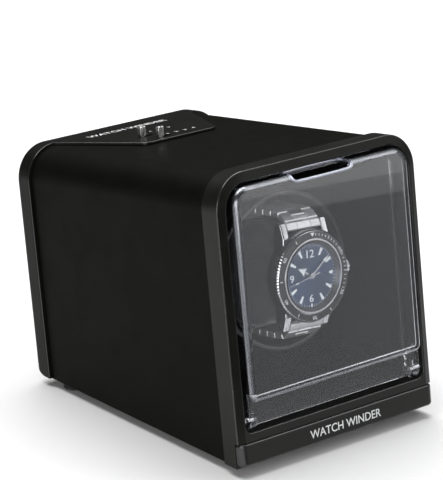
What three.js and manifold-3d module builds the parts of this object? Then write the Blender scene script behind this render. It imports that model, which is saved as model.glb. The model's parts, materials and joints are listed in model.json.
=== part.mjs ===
// A watch winder box: a slim tilted housing on rubber feet, a clear tray lid hinged at its lower edge,
// and a geared drum behind the lid that slowly turns a wrist watch on its cushion.
// Millimetres. The object rests on z = 0, +X is its right seen from the front, +Y goes to the back.
// The housing leans back: inside the "leaning" group, x is across, y is depth square to the front
// face and z runs up along the front face.
import * as THREE from "three";
import { mergeVertices } from "three/addons/utils/BufferGeometryUtils.js";
import Module from "manifold-3d";

// Housing
const WIDTH = 120;
const FRONT_HEIGHT = 135;
const DEPTH = 154;
const TILT = THREE.MathUtils.degToRad(8);
const FIT = 0.3;
const FOOT_HEIGHT = 4;
const FOOT_RADIUS = 4.5;
const UNDERSIDE = -0.4;
const LEAN_HEIGHT = FOOT_HEIGHT + FIT - UNDERSIDE;
const HALF = WIDTH / 2;
const FRAME_RADIUS = 17;
const FRAME_FACE = 4.7;
const FRAME_BEVEL = 1.2;
const FRONT_BAND = 11;
const REAR_BAND = 10.3;
const REAR_ROUND = 2.5;
const REAR_CORNER = 8;
const SHELL_STEP = 1.5;
const SHELL_WALL = 2.5;
const BASE_THICKNESS = 2.8;
const BASE_FRONT = 11.8;
const BASE_BACK = 144.5;
const BASE_SCREWS = { x: [-52.4, 52.4], y: [30, 124] };
const FEET = {
  front_left: [-48, 22],
  front_right: [48, 22],
  rear_left: [-52, 137],
  rear_right: [52, 137],
};
const PLINTH_TOP = 11.4;
const PLINTH_PROUD = 2;
const PLINTH_BACK = 2;
const PLINTH_ROUND = 1.7;
const PLINTH_BOTTOM = 1;
const PLINTH_CORNER = 4;
const RAIL_TOP = 15.7;

// Rear panel and power socket
const PANEL_FRONT = 150.2;
const PANEL_BACK = 152.2;
const PANEL_BOTTOM = 27;
const PANEL_CORNER = 12;
const REAR_SCREWS = [
  [-49.5, 124.5],
  [49.5, 124.5],
  [-49.5, 32.8],
  [49.5, 32.8],
];
const SCREW_HOLE = 1.5;
const SOCKET = { x: 36, z: 46, radius: 3.8, front: 141.5, back: 154.2 };

// Control tongue and its two slide knobs
const TONGUE_FRONT = 97.5;
const TONGUE_FRONT_HALF = 21.5;
const TONGUE_REAR_HALF = 43;
const TONGUE_THICKNESS = 1.2;
const KNOB_TRAVEL = 5;
const DIRECTION_KNOB = { x: -13, y: 112 };
const PROGRAMME_KNOB = { x: -9, y: 103 };
const KNOB_HEIGHT = 5.2;
const SLOT_MARGIN = 1.3;
const SWITCH_TOP = 124.3;
const BOARD_TOP = 117.6;
const BOARD_THICKNESS = 1.6;
const BOARD = { half: 28, front: 94, back: 136 };
const BOARD_POSTS = { x: [-24, 24], y: [98, 132] };

// Lid
const LID_HALF = 52.7;
const LID_TOP = 128.6;
const LID_FACE_BOTTOM = 29.6;
const LID_STRIP_BOTTOM = 18.7;
const LID_FRONT = -4.5;
const LID_BACK = 9;
const LID_WALL = 2.2;
const LID_PLATE = 2.5;
const NOTCH_HALF = 18;
const NOTCH_BOTTOM = 125.3;
const LID_ROUND = 3;
const HINGE = { y: 3, z: 20.7 };
const HINGE_PIN_RADIUS = 1.2;
const EAR_RADIUS = 4.4;

// Compartment, drum and drive
const LINING_HALF = 50;
const LINING_BOTTOM = 20;
const LINING_TOP = 126.2;
const LINING_BACK = 66;
const LINING_WALL = 2;
const AXIS_HEIGHT = 76;
const DRUM_RADIUS = 38;
const DRUM_FRONT = 30;
const DRUM_BACK = 60.5;
const DRUM_WALL = 2.5;
const AXLE_RADIUS = 3;
const GEAR_FRONT = 75;
const GEAR_THICKNESS = 4.5;
const MODULE = 0.8;
const GEAR_TEETH = 60;
const PINION_TEETH = 12;
const BACKLASH = 0.15;
const MOTOR_DROP = (MODULE * (GEAR_TEETH + PINION_TEETH)) / 2 + BACKLASH;
const MOTOR_HEIGHT = AXIS_HEIGHT - MOTOR_DROP;
const MOTOR_SCREWS = [-8.6, 8.6];
const BRACKET_FRONT = 83.4;
const BRACKET_THICKNESS = 2.2;
const BRACKET_POSTS = [
  [-21, 35],
  [21, 35],
  [-21, 55],
  [21, 55],
];
const MOTOR_FRONT = 86.2;
const MOTOR_BACK = 120.2;
const MOTOR_RADIUS = 12.4;

// Watch and cushion, centred on the drum's axis
const WATCH_TURN = THREE.MathUtils.degToRad(3.75);
const CASE_RADIUS = 20.8;
const CASE_TOP = 13.3;
const CASE_BACK = 23;
const BEZEL_RADIUS = 21.8;
const BEZEL_TOP = 9.4;
const DIAL_TOP = 12;
const NECK_RADIUS = 17.6;
const NECK_WALL = 1;
const CROWN_DEPTH = 17.5;
const BRACELET_HALF = 10;
const BRACELET_THICKNESS = 3.1;
const CUSHION = { half: 23, high: 27, front: 24.5, back: 51.5, round: 7.5 };

const wasm = await Module();
wasm.setup();

// ---- Solids -------------------------------------------------------------------------------------

// A closed geometry as a solid that can be joined and cut.
function solid(geometry) {
  const bare = geometry.clone();
  bare.deleteAttribute("normal");
  bare.deleteAttribute("uv");
  const merged = mergeVertices(bare, 1e-4);
  const triVerts = new Uint32Array(merged.index.array);
  const vertProperties = merged.attributes.position.array;
  return new wasm.Manifold(new wasm.Mesh({ numProp: 3, vertProperties, triVerts }));
}

// A solid as a geometry with flat faces.
function geometryOf(made) {
  const { vertProperties, triVerts } = made.getMesh();
  const geometry = new THREE.BufferGeometry();
  geometry.setAttribute("position", new THREE.BufferAttribute(new Float32Array(vertProperties), 3));
  geometry.setIndex(new THREE.BufferAttribute(new Uint32Array(triVerts), 1));
  const flat = geometry.toNonIndexed();
  flat.computeVertexNormals();
  return flat;
}

function join(...solids) {
  return solids.reduce((whole, next) => whole.add(next));
}

function cut(whole, ...tools) {
  return tools.reduce((left, tool) => left.subtract(tool), whole);
}

function box(x0, x1, y0, y1, z0, z1) {
  const geometry = new THREE.BoxGeometry(x1 - x0, y1 - y0, z1 - z0);
  return solid(geometry.translate((x0 + x1) / 2, (y0 + y1) / 2, (z0 + z1) / 2));
}

// A closed outline extruded in depth: its x goes across and its y goes up.
function inDepth(outline, from, to, options = {}) {
  const settings = { depth: to - from, bevelEnabled: false, curveSegments: 3, ...options };
  const geometry = new THREE.ExtrudeGeometry(outline, settings);
  return solid(geometry.rotateX(Math.PI / 2).translate(0, to, 0));
}

// A closed outline extruded across: its x goes back and its y goes up.
function across(outline, from, to) {
  const settings = { depth: to - from, bevelEnabled: false, curveSegments: 3 };
  const geometry = new THREE.ExtrudeGeometry(outline, settings);
  return solid(geometry.rotateX(Math.PI / 2).rotateZ(Math.PI / 2).translate(from, 0, 0));
}

// Round bars along each direction.
function rodInDepth(radius, from, to, x = 0, z = 0, sides = 24) {
  const geometry = new THREE.CylinderGeometry(radius, radius, to - from, sides);
  return solid(geometry.translate(x, (from + to) / 2, z));
}

function rodAcross(radius, from, to, y, z, sides = 24) {
  const geometry = new THREE.CylinderGeometry(radius, radius, to - from, sides);
  return solid(geometry.rotateZ(Math.PI / 2).translate((from + to) / 2, y, z));
}

function rodUp(radius, from, to, x, y, sides = 24) {
  const geometry = new THREE.CylinderGeometry(radius, radius, to - from, sides);
  return solid(geometry.rotateX(Math.PI / 2).translate(x, y, (from + to) / 2));
}

// A closed profile of [radius, depth] points turned about the depth axis.
function turned(profile, sides = 40) {
  const points = profile.map(([radius, depth]) => new THREE.Vector2(radius, depth));
  if (THREE.ShapeUtils.isClockWise(points)) points.reverse();
  points.push(points[0].clone());
  return solid(new THREE.LatheGeometry(points, sides));
}

function corner(shape, x, y, radius, start) {
  const arcX = x + (start === Math.PI / 2 || start === Math.PI ? radius : -radius);
  const arcY = y + (start >= Math.PI ? radius : -radius);
  if (radius > 0) shape.absarc(arcX, arcY, radius, start, start + Math.PI / 2, false);
  else shape.lineTo(x, y);
}

// A rectangle with one radius at its upper corners and another at its lower ones.
function rectangle(left, right, bottom, top, upper = 0, lower = upper) {
  const shape = new THREE.Shape();
  if (upper === 0) shape.moveTo(right, top);
  corner(shape, right, top, upper, 0);
  corner(shape, left, top, upper, Math.PI / 2);
  corner(shape, left, bottom, lower, Math.PI);
  corner(shape, right, bottom, lower, 1.5 * Math.PI);
  return shape;
}

function polygon(points) {
  return new THREE.Shape(points.map(([x, y]) => new THREE.Vector2(x, y)));
}

// Straight-flanked teeth on a round blank, with a tooth centred at the phase angle.
function gearOutline(teeth, phase) {
  const pitch = (MODULE * teeth) / 2;
  const flank = [
    [pitch - 1.2 * MODULE, 0.31],
    [pitch + 0.8 * MODULE, 0.13],
  ];
  const points = [];
  for (let tooth = 0; tooth < teeth; tooth++) {
    const middle = phase + (2 * Math.PI * tooth) / teeth;
    const spread = (2 * Math.PI) / teeth;
    const rising = flank.map(([radius, share]) => [radius, middle - share * spread]);
    const falling = flank.map(([radius, share]) => [radius, middle + share * spread]).reverse();
    for (const [radius, angle] of [...rising, ...falling]) {
      points.push([radius * Math.cos(angle), radius * Math.sin(angle)]);
    }
  }
  return polygon(points);
}

// Everything below the level underside, in the leaning frame.
function belowUnderside() {
  const block = new THREE.BoxGeometry(400, 800, 100).translate(0, 0, UNDERSIDE - 50);
  return solid(block.rotateX(TILT));
}

// ---- Materials ----------------------------------------------------------------------------------

const finish = (color, roughness, metalness = 0) =>
  new THREE.MeshStandardMaterial({ color, roughness, metalness });
const satinBlack = finish(0x2b2a27, 0.45);
const matteBlack = finish(0x181817, 0.6);
const glossBlack = finish(0x0a0a0b, 0.12);
const liningGrey = finish(0x55565a, 0.8);
const rubber = finish(0x101010, 0.9);
const steel = finish(0xb9bbbd, 0.25, 1);
const chrome = finish(0xe2e4e6, 0.08, 1);
const bronze = finish(0xa87c45, 0.35, 1);
const gearWhite = finish(0xe8e6de, 0.5);
const boardGreen = finish(0x1f5a38, 0.5);
const cushionCloth = finish(0x3b3b3e, 0.9);
const dialBlue = finish(0x1b3f7d, 0.3);
const clearAcrylic = new THREE.MeshStandardMaterial({
  color: 0xdfe6ef,
  roughness: 0.05,
  metalness: 0,
  transparent: true,
  opacity: 0.3,
});

// ---- Scene graph --------------------------------------------------------------------------------

const winder = new THREE.Group();
const leaning = new THREE.Group();
leaning.position.z = LEAN_HEIGHT;
leaning.rotation.x = -TILT;
const rotor = new THREE.Group();
rotor.position.z = AXIS_HEIGHT;
const carried = new THREE.Group();
carried.rotation.y = WATCH_TURN;
rotor.add(carried);
leaning.add(rotor);
winder.add(leaning);

function place(group, name, made, material) {
  const mesh = new THREE.Mesh(geometryOf(made), material);
  mesh.name = name;
  group.add(mesh);
  return mesh;
}

// ---- Housing ------------------------------------------------------------------------------------

function frameOutline(inset, bottom, radius = FRAME_RADIUS - inset) {
  return rectangle(-HALF + inset, HALF - inset, bottom, FRONT_HEIGHT - inset, radius);
}

// The opening in the top that a slide knob's stem travels along.
function knobSlot(knob) {
  const left = knob.x - SLOT_MARGIN;
  const right = knob.x + KNOB_TRAVEL + SLOT_MARGIN;
  return box(left, right, knob.y - 1.2, knob.y + 1.2, SWITCH_TOP, FRONT_HEIGHT + 1);
}

function buildShell() {
  const inset = SHELL_STEP;
  const front = FRONT_BAND + FIT;
  const back = DEPTH - REAR_BAND - FIT;
  const outer = inDepth(frameOutline(inset, -60), front, back);
  const hollow = inDepth(frameOutline(inset + SHELL_WALL, -80), front - 5, back + 5);
  const postTop = FRONT_HEIGHT - inset - 1;
  const posts = [];
  for (const x of BOARD_POSTS.x) {
    for (const y of BOARD_POSTS.y) {
      posts.push(rodUp(2.2, BOARD_TOP + FIT, postTop, x, y, 12));
    }
  }
  const bosses = [];
  const bores = [];
  for (const x of BASE_SCREWS.x) {
    for (const y of BASE_SCREWS.y) {
      bosses.push(levelRod(3.8, BASE_THICKNESS + FIT, 14, x, y));
      bores.push(levelRod(SCREW_HOLE, -5, 12, x, y));
    }
  }
  const knobSlots = [knobSlot(DIRECTION_KNOB), knobSlot(PROGRAMME_KNOB)];
  const walls = cut(outer, hollow, belowUnderside());
  const shell = cut(join(walls, ...posts, ...bosses), ...bores, ...knobSlots);
  place(leaning, "outer_shell", shell, matteBlack);
}

// A bar that stands level in the leaning frame, with its heights above the underside.
function levelRod(radius, from, to, x, y) {
  const bar = new THREE.CylinderGeometry(radius, radius, to - from, 16);
  bar.rotateX(Math.PI / 2).translate(x, y, (from + to) / 2 + UNDERSIDE);
  return solid(bar.rotateX(TILT));
}

function buildFrontFrame() {
  const straight = 20;
  const bevel = {
    bevelEnabled: true,
    bevelThickness: FRAME_BEVEL,
    bevelSize: FRAME_FACE - FIT,
    bevelOffset: -(FRAME_FACE - FIT),
    bevelSegments: 1,
  };
  const block = inDepth(frameOutline(0, -60), 0, straight, bevel);
  const opening = rectangle(
    -HALF + FRAME_FACE,
    HALF - FRAME_FACE,
    RAIL_TOP,
    FRONT_HEIGHT - FRAME_FACE,
    FRAME_RADIUS - FRAME_FACE,
    4,
  );
  const ring = cut(
    block,
    inDepth(opening, -10, 40),
    box(-100, 100, FRONT_BAND, 100, -100, 200),
    box(-100, 100, -20, PLINTH_BACK + FIT, -100, PLINTH_TOP + FIT),
    rodAcross(HINGE_PIN_RADIUS + FIT, -58, 58, HINGE.y, HINGE.z),
    belowUnderside(),
  );
  place(leaning, "front_frame", ring, satinBlack);
}

function buildPlinth() {
  const bevel = {
    depth: PLINTH_TOP - PLINTH_BOTTOM - 2 * PLINTH_ROUND,
    curveSegments: 3,
    bevelEnabled: true,
    bevelThickness: PLINTH_ROUND,
    bevelSize: PLINTH_ROUND,
    bevelOffset: -PLINTH_ROUND,
    bevelSegments: 3,
  };
  const plan = rectangle(-HALF, HALF, -PLINTH_PROUD, PLINTH_BACK + 6, PLINTH_CORNER);
  const extruded = new THREE.ExtrudeGeometry(plan, bevel);
  const bar = solid(extruded.translate(0, 0, PLINTH_BOTTOM + PLINTH_ROUND));
  const behind = box(-100, 100, PLINTH_BACK, 50, -50, 50);
  place(leaning, "plinth", cut(bar, behind), satinBlack);
}

// What the rounded lower rear corner of the housing leaves away.
function lowerRearCorner() {
  const y = DEPTH - REAR_CORNER;
  const z = (REAR_CORNER + UNDERSIDE + y * Math.sin(TILT)) / Math.cos(TILT);
  const block = box(-100, 100, y + REAR_CORNER * Math.sin(TILT), DEPTH + 5, z - 20, z);
  return cut(block, rodAcross(REAR_CORNER, -110, 110, y, z, 36));
}

function buildRearFrame() {
  const front = DEPTH - REAR_BAND;
  const bevel = {
    bevelEnabled: true,
    bevelThickness: REAR_ROUND,
    bevelSize: REAR_ROUND,
    bevelOffset: -REAR_ROUND,
    bevelSegments: 3,
  };
  const block = inDepth(frameOutline(0, -60), front - 20, DEPTH - REAR_ROUND, bevel);
  const inner = HALF - FRAME_FACE;
  const recess = rectangle(-inner, inner, PANEL_BOTTOM, FRONT_HEIGHT - FRAME_FACE, PANEL_CORNER);
  const throat = rectangle(-52.5, 52.5, PANEL_BOTTOM + 2.8, 127.5, 16);
  const ring = cut(
    block,
    box(-100, 100, 0, front, -100, 200),
    inDepth(recess, PANEL_FRONT - FIT, DEPTH + 5),
    inDepth(throat, front - 5, DEPTH + 5),
    belowUnderside(),
    lowerRearCorner(),
    ...REAR_SCREWS.map(([x, z]) => rodInDepth(SCREW_HOLE, front + 1.5, DEPTH + 5, x, z, 12)),
  );
  const plan = polygon([
    [-TONGUE_REAR_HALF, front + 1],
    [-TONGUE_FRONT_HALF - 1.2, TONGUE_FRONT + 2.5],
    [-TONGUE_FRONT_HALF + 1.6, TONGUE_FRONT],
    [TONGUE_FRONT_HALF - 1.6, TONGUE_FRONT],
    [TONGUE_FRONT_HALF + 1.2, TONGUE_FRONT + 2.5],
    [TONGUE_REAR_HALF, front + 1],
  ]);
  const plate = { depth: TONGUE_THICKNESS, bevelEnabled: false };
  const extruded = new THREE.ExtrudeGeometry(plan, plate);
  const tongue = solid(extruded.translate(0, 0, FRONT_HEIGHT - TONGUE_THICKNESS));
  const slots = [knobSlot(DIRECTION_KNOB), knobSlot(PROGRAMME_KNOB)];
  place(leaning, "rear_frame", cut(join(ring, tongue), ...slots), satinBlack);
}

function buildRearPanel() {
  const half = HALF - FRAME_FACE - FIT;
  const top = FRONT_HEIGHT - FRAME_FACE - FIT;
  const outline = rectangle(-half, half, PANEL_BOTTOM + FIT, top, PANEL_CORNER - FIT);
  const plate = inDepth(outline, PANEL_FRONT, PANEL_BACK);
  const holes = REAR_SCREWS.map(([x, z]) => rodInDepth(SCREW_HOLE, 140, 160, x, z, 12));
  const socketHole = rodInDepth(SOCKET.radius + FIT, 140, 160, SOCKET.x, SOCKET.z);
  place(leaning, "rear_panel", cut(plate, ...holes, socketHole), matteBlack);
}

function buildBase() {
  const low = FOOT_HEIGHT + FIT;
  const half = HALF - SHELL_STEP - SHELL_WALL - FIT;
  const plate = box(-half, half, BASE_FRONT, BASE_BACK, low, low + BASE_THICKNESS);
  const holes = [];
  for (const x of BASE_SCREWS.x) {
    for (const y of BASE_SCREWS.y) {
      holes.push(rodUp(SCREW_HOLE, low - 1, low + 10, x, y, 16));
      holes.push(rodUp(2.7, low - 1, low + 1.5, x, y, 16));
    }
  }
  place(winder, "base_plate", cut(plate, ...holes), matteBlack);
}

function buildFeet() {
  const profile = [
    [0, 0],
    [FOOT_RADIUS - 0.6, 0],
    [FOOT_RADIUS, 0.6],
    [FOOT_RADIUS, FOOT_HEIGHT],
    [0, FOOT_HEIGHT],
  ];
  for (const [spot, [x, y]] of Object.entries(FEET)) {
    const foot = place(winder, "foot_" + spot, turned(profile, 24), rubber);
    foot.rotation.x = Math.PI / 2;
    foot.position.set(x, y, 0);
  }
}

// A pan-head screw along +Y, with its head's underside at the origin and its shank towards -Y.
function screw(length, radius = 1.2) {
  const head = rodInDepth(2.1, 0, 1.2, 0, 0, 12);
  const shank = rodInDepth(radius, -length, 0.2, 0, 0, 8);
  const slot = box(-3, 3, 0.7, 3, -0.3, 0.3);
  return cut(join(head, shank), slot);
}

function buildScrews() {
  let count = 0;
  for (const [x, z] of REAR_SCREWS) {
    const piece = place(leaning, "panel_screw_" + ++count, screw(6), steel);
    piece.position.set(x, PANEL_BACK + FIT, z);
  }
  count = 0;
  for (const x of BASE_SCREWS.x) {
    for (const y of BASE_SCREWS.y) {
      const piece = place(winder, "base_screw_" + ++count, screw(9), steel);
      piece.rotation.x = -Math.PI / 2;
      piece.position.set(x, y, FOOT_HEIGHT + FIT + 1.2);
    }
  }
}

function buildSocket() {
  const { x, z, radius, front, back } = SOCKET;
  const barrel = rodInDepth(radius, front, PANEL_BACK + 1, x, z);
  const flange = rodInDepth(radius + 1.8, PANEL_BACK + FIT, back, x, z);
  const opening = rodInDepth(radius - 1, front + 2.5, back + 5, x, z);
  const contact = rodInDepth(0.9, front + 1.5, back - 1.7, x, z, 12);
  place(leaning, "power_socket", join(cut(join(barrel, flange), opening), contact), glossBlack);
  const hexagon = rodInDepth(radius + 2.8, PANEL_FRONT - 3, PANEL_FRONT - FIT, x, z, 6);
  place(leaning, "socket_nut", cut(hexagon, rodInDepth(radius + FIT, 140, 160, x, z)), steel);
}

// ---- Compartment --------------------------------------------------------------------------------

function buildLining() {
  const flange = rectangle(-55, 55, RAIL_TOP + FIT, FRONT_HEIGHT - FRAME_FACE - FIT, 12, 3.7);
  const tub = rectangle(
    -LINING_HALF - LINING_WALL,
    LINING_HALF + LINING_WALL,
    LINING_BOTTOM - LINING_WALL,
    LINING_TOP + LINING_WALL,
    10,
    8,
  );
  const hollow = rectangle(-LINING_HALF, LINING_HALF, LINING_BOTTOM, LINING_TOP, 8, 6);
  const front = LID_BACK + FIT;
  const holes = BRACKET_POSTS.map(([x, z]) => rodInDepth(SCREW_HOLE, LINING_BACK + 0.8, 80, x, z, 16));
  const lining = cut(
    join(inDepth(flange, front, front + 2.2), inDepth(tub, front + 1, LINING_BACK + 2.5)),
    inDepth(hollow, -10, LINING_BACK),
    rodInDepth(6.3, 50, 80, 0, AXIS_HEIGHT),
    ...holes,
  );
  place(leaning, "compartment_lining", lining, liningGrey);
}

function buildHingePins() {
  for (const [side, sign] of Object.entries({ left: -1, right: 1 })) {
    const ends = [sign * 49.2, sign * 57.6].sort((a, b) => a - b);
    place(leaning, "hinge_pin_" + side, rodAcross(HINGE_PIN_RADIUS, ...ends, HINGE.y, HINGE.z), steel);
  }
}

function buildLid() {
  const bevel = {
    bevelEnabled: true,
    bevelThickness: LID_ROUND,
    bevelSize: LID_ROUND,
    bevelOffset: -LID_ROUND,
    bevelSegments: 4,
  };
  const face = rectangle(-LID_HALF, LID_HALF, LID_FACE_BOTTOM, LID_TOP, 8, 4);
  const block = inDepth(face, LID_FRONT + LID_ROUND, LID_BACK + 10, bevel);
  const inner = LID_HALF - LID_WALL;
  const pocket = rectangle(-inner, inner, LID_FACE_BOTTOM + 2.4, LID_TOP - LID_WALL, 6, 2);
  const behindStrip = box(-inner, inner, 1.2, 60, 0, LID_FACE_BOTTOM + 20);
  const tray = cut(
    block,
    box(-100, 100, LID_BACK, 60, 0, 200),
    inDepth(pocket, LID_FRONT + LID_PLATE, 40),
    behindStrip,
  );
  const strip = box(-LID_HALF, LID_HALF, -1, 1.2, LID_STRIP_BOTTOM, LID_FACE_BOTTOM + 1);
  const cheek = polygon([
    [-1, HINGE.z - 2],
    [HINGE.y, HINGE.z - 2],
    [HINGE.y + EAR_RADIUS - 0.1, HINGE.z],
    [LID_BACK, HINGE.z + 6],
    [LID_BACK, LID_FACE_BOTTOM + 6],
    [-1, LID_FACE_BOTTOM + 6],
  ]);
  const cheeks = [across(cheek, -LID_HALF, -inner), across(cheek, inner, LID_HALF)];
  const ears = [
    rodAcross(EAR_RADIUS, -LID_HALF, -LID_HALF + 4.2, HINGE.y, HINGE.z),
    rodAcross(EAR_RADIUS, LID_HALF - 4.2, LID_HALF, HINGE.y, HINGE.z),
  ];
  const notch = rectangle(-NOTCH_HALF, NOTCH_HALF, NOTCH_BOTTOM, LID_TOP + 20, 2.5);
  const lid = cut(
    join(tray, strip, ...cheeks, ...ears),
    inDepth(notch, -20, 40),
    rodAcross(HINGE_PIN_RADIUS + 0.1, -100, 100, HINGE.y, HINGE.z),
  );
  place(leaning, "lid", lid, clearAcrylic);
}

// ---- Drum and drive -----------------------------------------------------------------------------

function buildDrum() {
  const inside = DRUM_RADIUS - DRUM_WALL;
  const floor = DRUM_BACK - DRUM_WALL;
  const bore = AXLE_RADIUS + 0.2;
  const cup = turned([
    [bore, floor],
    [bore, DRUM_BACK + 4],
    [8, DRUM_BACK + 4],
    [8, DRUM_BACK],
    [DRUM_RADIUS - 1.5, DRUM_BACK],
    [DRUM_RADIUS, DRUM_BACK - 1.5],
    [DRUM_RADIUS, DRUM_FRONT + 0.6],
    [DRUM_RADIUS - 0.6, DRUM_FRONT],
    [inside + 0.6, DRUM_FRONT],
    [inside, DRUM_FRONT + 0.6],
    [inside, floor],
  ]);
  const near = CUSHION.half + FIT + 0.1;
  const cheeks = [
    box(-near - 2, -near, DRUM_FRONT + 8, floor + 1, -16, 16),
    box(near, near + 2, DRUM_FRONT + 8, floor + 1, -16, 16),
  ];
  place(carried, "drum", join(cup, ...cheeks), satinBlack);
}

function buildAxleAndGear() {
  const bore = rodInDepth(AXLE_RADIUS + 0.2, 0, 200);
  place(rotor, "axle", rodInDepth(AXLE_RADIUS, DRUM_BACK - 2.3, 83), steel);
  const back = GEAR_FRONT + GEAR_THICKNESS;
  const wheel = inDepth(gearOutline(GEAR_TEETH, Math.PI / GEAR_TEETH - Math.PI / 2), GEAR_FRONT, back);
  place(rotor, "drum_gear", cut(join(wheel, rodInDepth(7, back - 1, back + 2)), bore), gearWhite);
  const ring = cut(rodInDepth(5.5, back + 2.3, back + 3.1), bore, box(-1.2, 1.2, 0, 200, 0, 20));
  place(rotor, "retaining_ring", ring, steel);
}

function buildBush() {
  const bore = AXLE_RADIUS + 0.2;
  const flangeFront = LINING_BACK - FIT - 0.9;
  const profile = [
    [bore, flangeFront],
    [bore, GEAR_FRONT - 0.6],
    [6, GEAR_FRONT - 0.6],
    [6, LINING_BACK - FIT],
    [8.5, LINING_BACK - FIT],
    [8.5, flangeFront],
  ];
  place(leaning, "drum_bush", turned(profile, 24), bronze).position.z = AXIS_HEIGHT;
}

function buildMotor() {
  const bracketBack = BRACKET_FRONT + BRACKET_THICKNESS;
  const plate = inDepth(rectangle(-26, 26, 30, 61, 5), BRACKET_FRONT, bracketBack);
  const posts = BRACKET_POSTS.map(([x, z]) => rodInDepth(3, LINING_BACK + 2.8, bracketBack - 1, x, z, 16));
  const bracket = cut(
    join(plate, ...posts),
    ...BRACKET_POSTS.map(([x, z]) => rodInDepth(SCREW_HOLE, 60, 100, x, z, 16)),
    ...MOTOR_SCREWS.map((x) => rodInDepth(SCREW_HOLE, 80, 90, x, MOTOR_HEIGHT, 16)),
    rodInDepth(4.2, 80, 90, 0, MOTOR_HEIGHT),
  );
  place(leaning, "motor_bracket", bracket, steel);
  let count = 0;
  for (const [x, z] of BRACKET_POSTS) {
    const piece = place(leaning, "bracket_screw_" + ++count, screw(18), steel);
    piece.position.set(x, bracketBack + FIT, z);
  }
  const gearbox = rodInDepth(MOTOR_RADIUS, MOTOR_FRONT, MOTOR_FRONT + 14, 0, MOTOR_HEIGHT, 32);
  const can = rodInDepth(MOTOR_RADIUS - 0.8, MOTOR_FRONT + 13, MOTOR_BACK, 0, MOTOR_HEIGHT, 32);
  const threads = MOTOR_SCREWS.map((x) => rodInDepth(SCREW_HOLE, 80, MOTOR_FRONT + 3, x, MOTOR_HEIGHT, 16));
  place(leaning, "gear_motor", cut(join(gearbox, can), ...threads), steel);
  count = 0;
  for (const x of MOTOR_SCREWS) {
    const piece = place(leaning, "motor_screw_" + ++count, screw(5), steel);
    piece.rotation.z = Math.PI;
    piece.position.set(x, BRACKET_FRONT - FIT, MOTOR_HEIGHT);
  }
}

function buildPinion() {
  const pinion = inDepth(gearOutline(PINION_TEETH, Math.PI / 2), GEAR_FRONT - 0.5, GEAR_FRONT + 5.5);
  const bored = cut(pinion, rodInDepth(1.7, 0, 200));
  place(leaning, "motor_pinion", bored, bronze).position.z = MOTOR_HEIGHT;
  const shaft = rodInDepth(1.5, GEAR_FRONT - 1, MOTOR_FRONT - FIT);
  place(leaning, "motor_shaft", shaft, steel).position.z = MOTOR_HEIGHT;
}

// ---- Controls -----------------------------------------------------------------------------------

function buildControls() {
  const { half, front, back } = BOARD;
  const plate = box(-half, half, front, back, BOARD_TOP - BOARD_THICKNESS, BOARD_TOP);
  const chip = box(6, 16, front + 22, front + 32, BOARD_TOP - 2.8, BOARD_TOP - 1);
  const plug = box(-4, 8, back - 6, back - 1, BOARD_TOP - 0.5, BOARD_TOP + 5);
  place(leaning, "circuit_board", join(plate, chip, plug), boardGreen);
  for (const [name, knob] of Object.entries({ direction: DIRECTION_KNOB, programme: PROGRAMME_KNOB })) {
    const left = knob.x - 3.5;
    const low = BOARD_TOP + FIT;
    const body = box(left, left + 12, knob.y - 3, knob.y + 3, low, SWITCH_TOP);
    place(leaning, name + "_switch", body, matteBlack);
    const stem = box(-1, 1, -0.8, 0.8, SWITCH_TOP + FIT, FRONT_HEIGHT + 1);
    const cap = box(-1.7, 1.7, -1.3, 1.3, FRONT_HEIGHT + FIT, FRONT_HEIGHT + KNOB_HEIGHT);
    const groove = box(-0.4, 0.4, -5, 5, FRONT_HEIGHT + KNOB_HEIGHT / 2, FRONT_HEIGHT + 10);
    const piece = place(leaning, name + "_knob", cut(join(stem, cap), groove), chrome);
    piece.position.set(knob.x, knob.y, 0);
  }
}

// A thin lead along a smooth path through the given points.
function lead(name, points) {
  const path = new THREE.CatmullRomCurve3(points.map((point) => new THREE.Vector3(...point)));
  const section = new THREE.Shape().absarc(0, 0, 1, 0, 2 * Math.PI, false);
  const tube = { steps: 14, curveSegments: 4, extrudePath: path };
  place(leaning, name, solid(new THREE.ExtrudeGeometry(section, tube)), matteBlack);
}

function buildLeads() {
  const board = BOARD_TOP - BOARD_THICKNESS - FIT;
  lead("motor_lead", [
    [0, MOTOR_BACK + 0.7, MOTOR_HEIGHT],
    [0, MOTOR_BACK + 5, MOTOR_HEIGHT + 4],
    [-3, MOTOR_BACK + 7, 75],
    [-6, 128, 100],
    [-6, 128, board],
  ]);
  lead("power_lead", [
    [SOCKET.x, SOCKET.front - 0.6, SOCKET.z],
    [SOCKET.x, SOCKET.front - 4.5, SOCKET.z + 3],
    [30, 134, 75],
    [20, 131, 102],
    [20, 131, board],
  ]);
}

// ---- Cushion and watch --------------------------------------------------------------------------

function buildCushion() {
  const { half, high, front, back, round } = CUSHION;
  const bevel = {
    bevelEnabled: true,
    bevelThickness: round,
    bevelSize: round,
    bevelOffset: -round,
    bevelSegments: 4,
  };
  const outline = rectangle(-half, half, -high, high, round + 1.5);
  place(carried, "watch_cushion", inDepth(outline, front + round, back - round, bevel), cushionCloth);
}

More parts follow.
